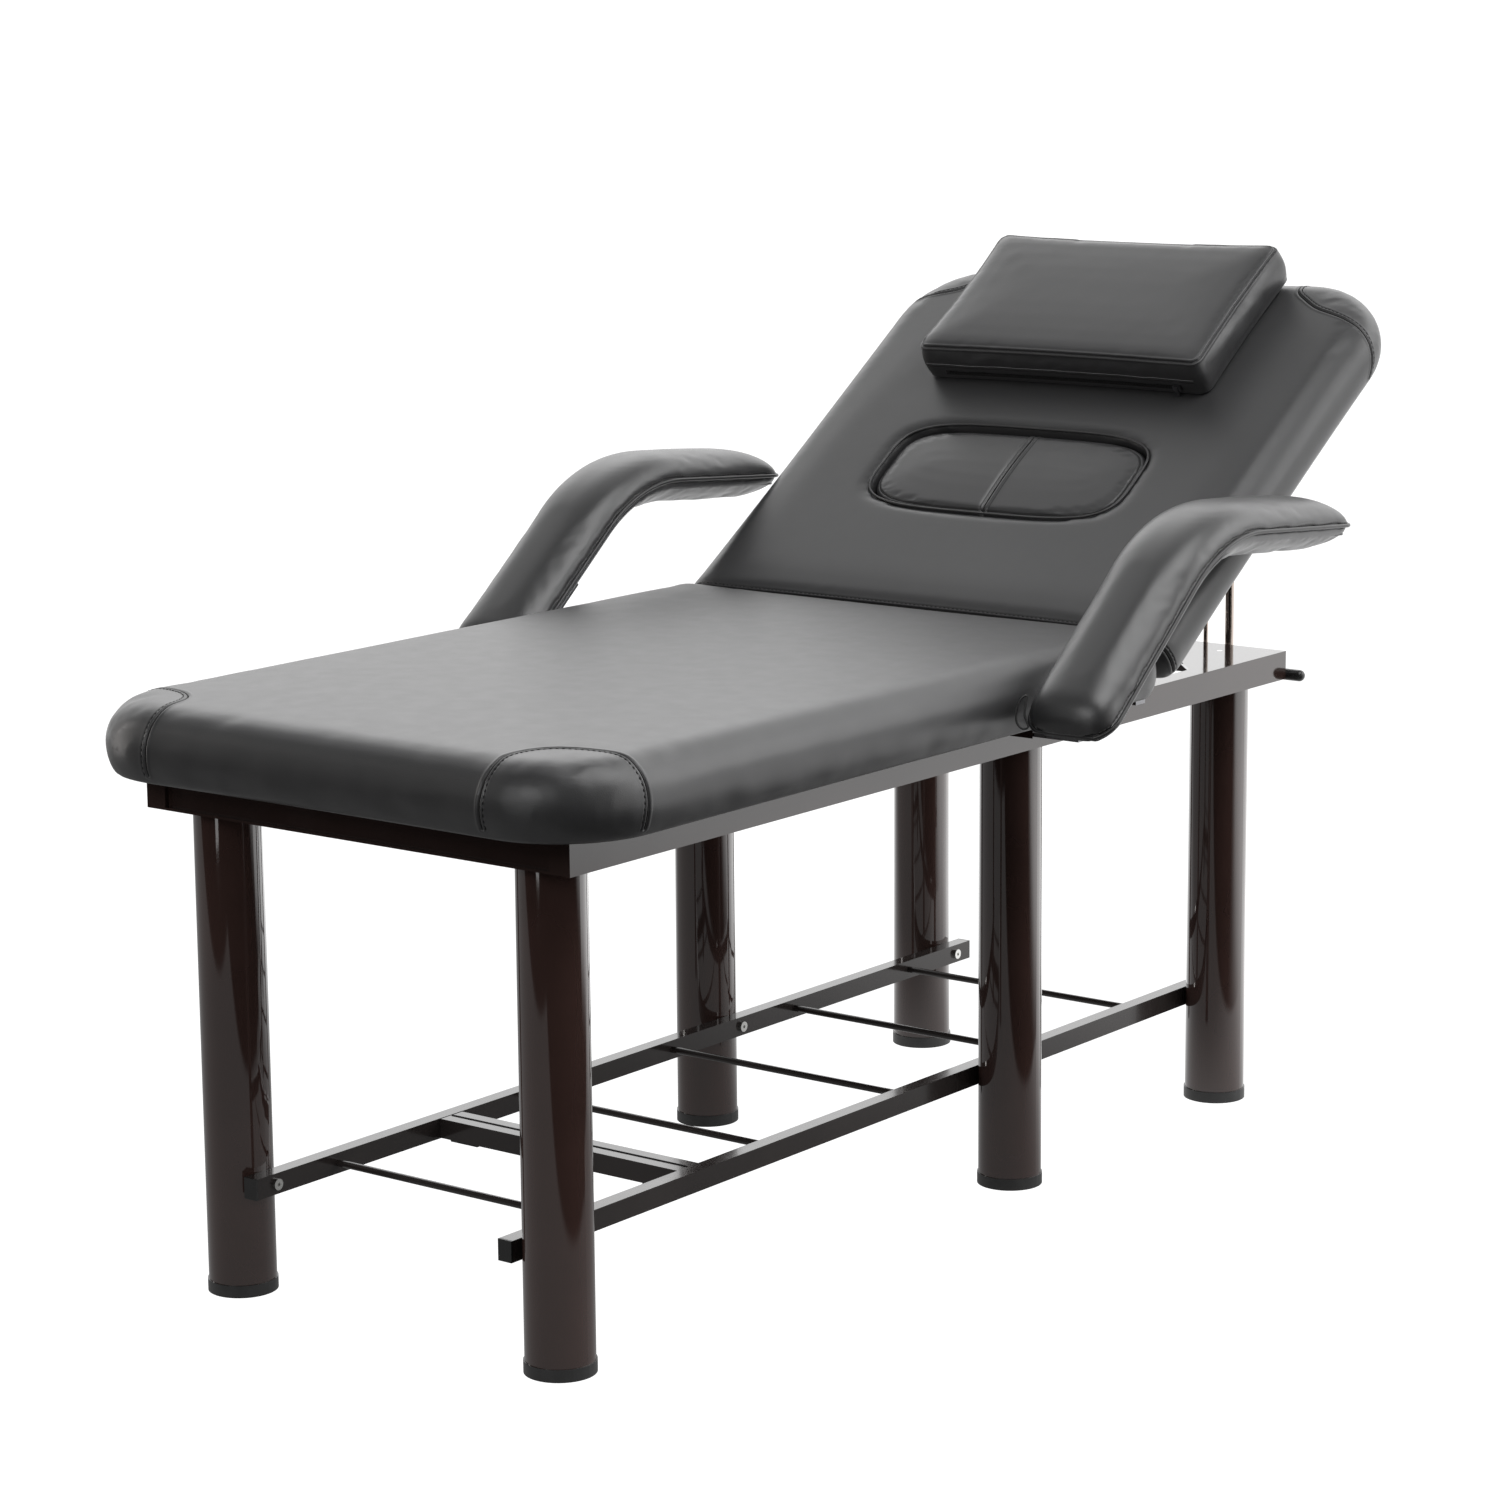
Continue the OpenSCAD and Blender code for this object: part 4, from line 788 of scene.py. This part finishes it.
def make_seat():
    shoulder = 47

    def ring(i, z, draw=3.0):
        front, rear = max(SEAT_R0 - i, 30), max(SEAT_R1 - SEAT_REAR * i, 8)
        flat = outline(SEAT_X - i, SEAT_Y0 + i, SEAT_Y1 - SEAT_REAR * i, front, rear, draw)
        return world(raised(flat, z))

    rings = [ring(p[0], p[1]) for p in side_profile(SEAT_Z0, SEAT_Z1 - CROWN, 18, shoulder)]
    for k, share in ((60, 0.6), (120, 0.9), (200, 1.0), (330, 1.0)):
        rings.append(ring(shoulder + k, SEAT_Z1 - CROWN + CROWN * share, 0))
    obj = loft("seat_cover", rings)
    voxel(obj, 9)
    puff(obj, coords(obj)[:, 2] < (SEAT_Z0 + 5) / 1000, 2.4, pressure=3.0, slack=0.002, bend=2.0, frames=12)
    relax(obj, 0.5, 2)
    subdivide(obj)
    # Short waves round the sides, long ones over the top
    z = coords(obj)[:, 2]
    below_top, above_base = (SEAT_Z1 - 23) / 1000 - z, z - (SEAT_Z0 + 1) / 1000
    ripple(obj, 1.5, 0.045, np.clip(below_top / 0.05, 0, 1) * np.clip(above_base / 0.015, 0, 1), 3.0)
    over_side = coords(obj)[:, 2] - (SEAT_Z1 - 18) / 1000
    ripple(obj, 0.9, 0.30, np.clip(over_side / 0.02, 0, 1), 7.0)
    tree = surface_of(obj)
    lines, rows = [], []
    for sign in (1, -1):
        way = [(sign * x, y, z) for x, y, z in SEAT_CORNER_SEAM]
        line, row = sew(tree, spline(world(way)), -HOLES_ASIDE * sign)
        lines.append(line)
        rows.append(row)
    press_seams(obj, lines, rows)
    finish_soft(obj, "frame", LEATHER, ["seat_cushion"])
    shade_lines("seat_seam_shade", lines, "frame")
    for i, (row, rn) in enumerate(rows):
        stitches(f"seat_stitch_{i}", row, rn, "frame", *BROAD_THREAD)


# Back
BACK_X, BACK_A0, BACK_A1 = 398.0, 5.0, 758.0
BACK_B0, BACK_B1 = 8.3, 85.0
BACK_R0, BACK_R1 = 26, 135
# The end at the hinge is rounded by this share of the other sides' inset
BACK_HINGE = 0.4
HOLE_Y, HOLE_A, HOLE_B, HOLE_POWER = 298.0, 206.0, 88.0, 4.0


BACK_CORNER_SEAM = (
    (248, 762, 30), (248, 758, 52), (248, 745, 76), (250, 728, 84), (258, 708, 86), (277, 692, 86),
    (300, 677, 86), (326, 668, 85), (355, 660, 80), (380, 654, 72), (396, 642, 52), (399, 628, 34),
    (396, 612, 18),
)
# Drop of the seam along the hinge end, at each side
BACK_END_SEAM = ((397, 16, 12), (399, 16, 34), (394, 15, 60), (378, 14, 76), (356, 14, 83))


def hole_ring(grow, angles=np.linspace(0, 2 * math.pi, 260, False)):
    """Outline of the face hole, larger all round by grow."""
    out = []
    for a in angles:
        across = abs(math.cos(a) / (HOLE_A + grow)) ** HOLE_POWER
        along = abs(math.sin(a) / (HOLE_B + grow)) ** HOLE_POWER
        r = 1 / (across + along) ** (1 / HOLE_POWER)
        out.append((r * math.cos(a), HOLE_Y + r * math.sin(a)))
    return np.array(out)


def back_outline(i, draw=3.0):
    low, high = max(BACK_R0 - BACK_HINGE * i, 12), max(BACK_R1 - i, 40)
    return outline(BACK_X - i, BACK_A0 + BACK_HINGE * i, BACK_A1 - i, low, high, draw)


def make_back():
    base = back_outline(0, 0)
    angles = np.arctan2(base[:, 1] - HOLE_Y, base[:, 0])

    z1 = BACK_B1 - CROWN
    edge, shoulder = 5, 49
    rings = [raised(hole_ring(0, angles), BACK_B0)]
    rings.append(raised(back_outline(41, 0), BACK_B0))
    rings += [raised(back_outline(p[0]), p[1]) for p in side_profile(BACK_B0 - 6, z1, 20, shoulder)]
    outer, inner = back_outline(shoulder, 0), hole_ring(edge, angles)
    for t in np.linspace(0.12, 0.9, 9):
        rings.append(raised(outer + (inner - outer) * t, z1 + CROWN * min(1, t * 4)))
    for a in (90, 60, 30, 0):
        c, s = math.cos(math.radians(a)), math.sin(math.radians(a))
        rings.append(raised(hole_ring(edge * (1 - c), angles), z1 + CROWN - edge * (1 - s)))
    obj = loft("back_cover", [on_back(r) for r in rings], torus=True)
    voxel(obj, 7)
    _, out = in_back(coords(obj))
    puff(obj, out < 14, 1.6, pressure=2.0, slack=0.001, bend=3.0, frames=12)
    relax(obj, 0.5, 2)
    subdivide(obj)
    ripple(obj, 0.9, 0.26, 1.0, 11.0)
    tree = surface_of(obj)
    lines, rows = [], []
    for sign in (1, -1):
        way = [(sign * x, a, b) for x, a, b in BACK_CORNER_SEAM]
        line, row = sew(tree, spline(on_back(way)), HOLES_ASIDE * sign)
        lines.append(line)
        rows.append(row)
    way = [(-x, a, b) for x, a, b in BACK_END_SEAM]
    way += [(x, 14, 84) for x in np.linspace(-330, 330, 12)]
    way += BACK_END_SEAM[::-1]
    line, row = sew(tree, spline(on_back(way)), HOLES_ASIDE)
    lines.append(line)
    rows.append(row)
    press_seams(obj, lines, rows)
    finish_soft(obj, "back", LEATHER, ["back_cushion"])
    shade_lines("back_seam_shade", lines, "back")
    rim = tube("face_hole_welt", on_back(raised(hole_ring(1.2), BACK_B1 - 1.0)), 1.7, True)
    rim.data.materials.append(PIPING)
    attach(rim, "back")
    for i, (row, rn) in enumerate(rows):
        stitches(f"back_stitch_{i}", row, rn, "back", *BROAD_THREAD)


def make_plug():
    z0, z1, room, edge = 17.6, 81.0, 2.6, 14
    rings = [raised(hole_ring(-3.2), z0), raised(hole_ring(-room), z0 + 6)]
    for a in np.linspace(0, 90, 7):
        c, s = math.cos(math.radians(a)), math.sin(math.radians(a))
        rings.append(raised(hole_ring(-room - edge * (1 - c)), z1 - edge + edge * s))
    for g, up in ((30, 1.0), (50, 2.2), (72, 3.0)):
        rings.append(raised(hole_ring(-room - g), z1 + up))
    obj = loft("face_plug_cover", [on_back(r) for r in rings])
    voxel(obj, 4)
    _, out = in_back(coords(obj))
    puff(obj, out < 60, 1.2, pressure=2.0, slack=0.001, bend=5.0, frames=14)
    relax(obj, 0.5, 1)
    tree = surface_of(obj)
    centre = resample(on_back([(2, HOLE_Y + t, 80) for t in np.linspace(-86, 86, 30)]), 0.002)
    p, ns = snapped(tree, centre)
    rim = resample(on_back(raised(hole_ring(-9), 80)), 0.003, True)
    rim, rim_n = (joined_up(row) for row in snapped(tree, rim))
    refine(obj, [p, rim], 11)
    groove(obj, [p], 2.2, 1.8, 0.5)
    groove(obj, [rim], 1.0, 1.3, 0.2)
    finish_soft(obj, "face_plug", LEATHER_SIDE, ["face_plug_pad"])
    shade_lines("plug_seam_shade", [(p, ns), (rim, rim_n)], "face_plug", 1.2)
    # A dark line beside the centre seam, painted as the shade in the fold there
    second, second_n = snapped(tree, shifted(p, ns, -9.0))
    shade_lines("plug_fold_shade", [(second, second_n)], "face_plug", 0.3, 0.7)
    for i, by in enumerate((-7.0, 2.5)):
        row, rn = snapped(tree, shifted(p, ns, by), 0.1)
        stitches(f"plug_stitch_{i}", row, rn, "face_plug", *FINE_THREAD)


BOX_FACES = ((0, 1, 3, 2), (4, 6, 7, 5), (0, 4, 5, 1), (2, 3, 7, 6), (0, 2, 6, 4), (1, 5, 7, 3))


def make_pillow():
    w, a0, a1, z0, z1 = 233.0, 475.0, 737.0, 85.3, 145.3
    zipper = 16.2

    def ring(i, z, draw=3.0):
        return on_back(raised(outline(w - i, a0 + i, a1 - i, 14, 14, draw), z))

    rings = [ring(i, z) for i, z in ((8, z0), (3.5, z0 + 0.6), (1, z0 + 2.5), (0, z0 + 6))]
    for t in np.linspace(0.15, 0.85, 7):
        rings.append(ring(-2.5 * math.sin(math.pi * t), z0 + 6 + (z1 - z0 - 12) * t, 3))
    rings += [ring(i, z) for i, z in ((0, z1 - 6), (1, z1 - 2.5), (3.5, z1 - 0.6), (8, z1))]
    rings += [ring(i, z1 + up, 1) for i, up in ((24, 2.2), (48, 3.8), (76, 4.8), (104, 5.2))]
    obj = loft("pillow_cover", rings)
    voxel(obj, 4.5)
    along, out = in_back(coords(obj))
    pinned = (out < z0 + 3) | ((along < a0 + 6) & (np.abs(out - z0 - zipper) < 9))
    puff(obj, pinned, 1.4, pressure=2.0, slack=0.001, bend=5.0, frames=14)
    relax(obj, 0.4, 1)
    relax(obj, 0.5, 2)
    subdivide(obj)
    _, out = in_back(coords(obj))
    ripple(obj, 1.2, 0.03, np.exp(-np.abs(out - z0 - 35) / 14), 5.0)
    tree = surface_of(obj)
    loops = []
    for z, i in ((z1 - 1.8, 1.6), (z0 + 1.8, 1.6)):
        q = resample(on_back(raised(outline(w - i, a0 + i, a1 - i, 13, 13, 3), z)), 0.003, True)
        q, qn = snapped(tree, q)
        loops.append((q, qn))
    closed = [joined_up(q) for q, _ in loops]
    refine(obj, closed, 9)
    groove(obj, closed, 1.5, 1.2, 0.6)
    finish_soft(obj, "pillow", LEATHER_SIDE, ["pillow"])
    q, qn = loops[0]
    row, rn = snapped(tree, shifted(q, qn, 4.5, True), 0.1)
    stitches("pillow_stitch", row, rn, "pillow", *FINE_THREAD)
    # Edge of the flap over the zipper: a near-black line painted as the shade under the edge, and a light
    # grey line painted as the highlight along it
    for i, (z, mat, size) in enumerate(((z0 + 27, THREAD_AND_SHADE, 1.3), (z0 + 30, HIGHLIGHT_WELT, 0.6))):
        across = np.linspace(-w + 8, w - 14, 40)
        way = on_back([(x, a0 + 12 * (0.25 - (x / (2 * w)) ** 2), z) for x in across])
        line, _ = snapped(tree, resample(way, 0.003), -0.2)
        edge = tube(f"pillow_flap_shade_and_highlight_{i}", line, size, False, 6)
        edge.data.materials.append(mat)
        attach(edge, "pillow")
    # Coil of the zipper, on its tape
    teeth, faces = [], []
    for k, x in enumerate(np.arange(-192, 192, 2.4)):
        t = (x + 217) / 434
        y = a0 + 3 * 4 * t * (1 - t) - 2.0
        zc = z0 + zipper + (0.7 if k % 2 else -0.7)
        base = len(teeth)
        for dx in (-0.8, 0.8):
            for dy in (-0.7, 0.7):
                for dz in (-1.4, 1.4):
                    teeth.append((x + dx, y + dy, zc + dz))
        faces += [[base + i for i in f] for f in BOX_FACES]
    coil = mesh_object("zipper_coil", on_back(teeth), faces, False)
    coil.data.materials.append(PLUG_PLASTIC)
    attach(coil, "pillow")


# Armrests. s runs along the pad's lower face from its front end, n stands out of it.
ARM_Y0, ARM_Z0, ARM_SLOPE, ARM_DROOP, ARM_R = -205.0, 647.0, 39.5, 4.5, 220.0
ARM_LOW, ARM_TOP, ARM_MID, ARM_HALF = 257.0, 241.0, 467.5, 62.5
ARM_TURN = ARM_SLOPE + ARM_DROOP
ARM_ARC = ARM_R * math.radians(ARM_TURN)
ARM_LEN = ARM_LOW + ARM_ARC + ARM_TOP
# Ends of the soft pad under the level part
UNDER_S0, UNDER_S1 = ARM_LOW + 0.45 * ARM_ARC, ARM_LEN - 45 / 4
# Where the flat faces of the upper and the under pad lie, out of the pad's lower face
ARM_BASE, UNDER_BASE = 0.3, -0.6


def arm_point(s, n):
    """The y and z of a point of the armrest's side view, in millimetres."""
    a0 = math.radians(ARM_SLOPE)
    start = np.array([ARM_Y0, ARM_Z0]) + ARM_LOW * np.array([math.cos(a0), math.sin(a0)])
    mid = start + ARM_R * np.array([math.sin(a0), -math.cos(a0)])
    if s < ARM_LOW:
        a = a0
        p = np.array([ARM_Y0, ARM_Z0]) + s * np.array([math.cos(a), math.sin(a)])
    else:
        a = math.radians(ARM_SLOPE - ARM_TURN * min(1, (s - ARM_LOW) / ARM_ARC))
        p = mid + ARM_R * np.array([-math.sin(a), math.cos(a)])
        p = p + max(0, s - ARM_LOW - ARM_ARC) * np.array([math.cos(a), math.sin(a)])
    return p + n * np.array([-math.sin(a), math.cos(a)])


def round_off(s, r):
    """How much a corner of radius r takes off at a distance s from the end."""
    return 0.0 if s >= r else r - math.sqrt(max(0.0, r * r - (r - s) ** 2))


def swell(s, reach):
    """Share of the full height at a distance s from the end."""
    return 1.0 if s >= reach else math.sqrt(max(0.0, 1 - (1 - s / reach) ** 2))


def arm_half(s):
    return ARM_HALF - round_off(s, 36) - round_off(ARM_LEN - s, 34)


def arm_rise(s):
    return 36 * max(0.16, swell(s, 45)) * max(0.16, swell(ARM_LEN - s, 90))


def under_half(s):
    return arm_half(s) - 3.0 - round_off(s - UNDER_S0, 14)


def under_depth(s):
    return -12 - 18 * max(0.32, swell(s - UNDER_S0, 45)) * max(0.32, swell(UNDER_S1 - s, 90))


def board_half(s):
    return ARM_HALF - round_off(s, 45) - round_off(ARM_LEN - s, 34) - 6.4


def arm_stations(s0, s1, front, rear, n=70):
    t = [s0 + front * (1 - math.cos(a)) for a in np.linspace(0, math.pi / 2, 9, False)]
    t += list(np.linspace(s0 + front, s1 - rear, n))
    t += [s1 - rear + rear * math.sin(a) for a in np.linspace(0, math.pi / 2, 12)[1:]]
    return t


def arm_rings(sign, stations, half, rise, base):
    """Cross sections of a pad on the bent board, flat on the board and rounded away from it."""
    rings = []
    for s in stations:
        h, up = max(half(s), 1.0), rise(s)
        ring = []
        for k in range(33):
            a = math.pi * k / 32
            c = math.cos(a)
            y, z = arm_point(s, base + up * math.sin(a))
            ring.append((sign * (ARM_MID + h * math.copysign(abs(c) ** 0.7, c)), y, z))
        for t in np.linspace(-1, 1, 9)[1:-1]:
            y, z = arm_point(s, base)
            ring.append((sign * (ARM_MID + h * t), y, z))
        rings.append(world(ring))
    return rings


def arm_base_distance(co, base):
    """How far each point lies out of the bent board's plane, in millimetres."""
    s = np.linspace(0, ARM_LEN, 300)
    line = np.array([arm_point(v, base) for v in s])
    up = np.array([arm_point(v, base + 1) for v in s]) - line
    p = co[:, 1:] * 1000 - (MID, 0)
    i = np.argmin(((p[:, None, :] - line[None]) ** 2).sum(2), 1)
    return ((p - line[i]) * up[i]).sum(1), s[i]


def make_armrest(side, sign):
    body = "armrest_" + side
    rings = arm_rings(sign, arm_stations(0, ARM_LEN, 45, 90), arm_half, arm_rise, ARM_BASE)
    obj = loft("armrest_cover_" + side, rings)
    voxel(obj, 5)
    out, _ = arm_base_distance(coords(obj), ARM_BASE)
    puff(obj, out < 4, 2.0, pressure=3.0, slack=0.002, bend=3.0, frames=14)
    relax(obj, 0.5, 4)
    out, s = arm_base_distance(coords(obj), ARM_BASE)
    ripple(obj, 1.8, 0.028, np.clip((20 - out) / 14, 0, 1) * np.exp(-(((s - 60) / 60) ** 2)), 2.0)
    ripple(obj, 0.5, 0.06, np.clip((30 - out) / 20, 0, 1), 9.0)
    stations = arm_stations(3, ARM_LEN - 3, 42, 32, 60)
    edge, seam = [], []
    for way, row in ((1, stations), (-1, stations[::-1])):
        edge += [(sign * (ARM_MID + way * arm_half(v) + way * 0.4), *arm_point(v, 1.2)) for v in row]
        seam += [(sign * (ARM_MID + way * (arm_half(v) + 2)), *arm_point(v, 6)) for v in row]
    path = resample(world(edge), 0.004, True)
    finish_soft(obj, body, ARM_LEATHER, ["armrest_pad_" + side])
    seam, sn = snapped(surface_of(obj), resample(world(seam), 0.003, True), 0.1)
    stitches("armrest_stitch_" + side, seam, sn, body, *FINE_THREAD)
    pipe = tube("armrest_piping_" + side, path, 2.6, True)
    pipe.data.materials.append(PIPING)
    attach(pipe, body)
    # Soft pad under the level part, whose cover comes up round the board's edge
    stations = arm_stations(UNDER_S0, UNDER_S1, 30, 60, 40)
    pad = loft("armrest_under_cover_" + side, arm_rings(sign, stations, under_half, under_depth, UNDER_BASE))
    voxel(pad, 4)
    out, _ = arm_base_distance(coords(pad), UNDER_BASE)
    puff(pad, out > -11, 2.0, pressure=3.0, slack=0.006, bend=1.5, frames=14)
    relax(pad, 0.5, 1)
    out, _ = arm_base_distance(coords(pad), UNDER_BASE)
    ripple(pad, 1.2, 0.035, np.clip((-out - 8) / 8, 0, 1), 4.0)
    finish_soft(pad, body, UNDER, ["armrest_under_pad_" + side])
    # A near-black cord where the under pad's cover tucks in, painted as the shade in that fold
    tuck = [(sign * (ARM_MID + t), *arm_point(UNDER_S0 - 3, -9)) for t in np.linspace(-53, 53, 12)]
    fold_shade = tube("armrest_fold_shade_" + side, world(tuck), 3.5)
    fold_shade.data.materials.append(THREAD_AND_SHADE)
    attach(fold_shade, body)
    # Thin welts along both edges of the board's cloth, up to the under pad, light grey as painted highlights
    # along those edges
    reach = np.linspace(9, UNDER_S0 + 4, 40)
    for name, n in (("upper", -1.2), ("lower", -11.0)):
        inner, outer = (
            [(sign * (ARM_MID + way * board_half(max(v, 8))), *arm_point(v, n)) for v in reach]
            for way in (-1, 1)
        )
        highlight_welt = tube(f"armrest_welt_{name}_{side}", resample(world(inner[::-1] + outer), 0.004), 0.9)
        highlight_welt.data.materials.append(HIGHLIGHT_WELT)
        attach(highlight_welt, body)


def make_cord():
    """Thin cord loop at the near armrest's front inner corner, where the cover is tied."""
    way = [(412, -203, 692), (408, -210, 688), (406, -216, 676), (408, -219, 662), (415, -218, 654),
           (421, -213, 656), (415, -212, 670), (413, -206, 684)]
    cord = tube("armrest_cord", resample(spline(world(way), True), 0.002, True), 1.4, True, 8)
    cord.data.materials.append(CORD)
    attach(cord, "armrest_right")


def make_crossbar_gap_shade():
    """Dark line where the two tubes of the shelf's crossbar meet, painted as the shade in the gap between
    them.
    """
    low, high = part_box("shelf_crossbar")
    y = (low.y + high.y) / 2
    path = [(x, y, high.z) for x in np.linspace(low.x + 0.002, high.x - 0.002, 20)]
    line = tube("crossbar_gap_shade", path, 1.3, False, 8)
    line.data.materials.append(THREAD_AND_SHADE)
    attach(line, "frame")


make_camera()
make_studio()
paint_nodes()
make_seat()
make_back()
make_plug()
make_pillow()
make_armrest("left", -1)
make_armrest("right", 1)
make_cord()
make_crossbar_gap_shade()
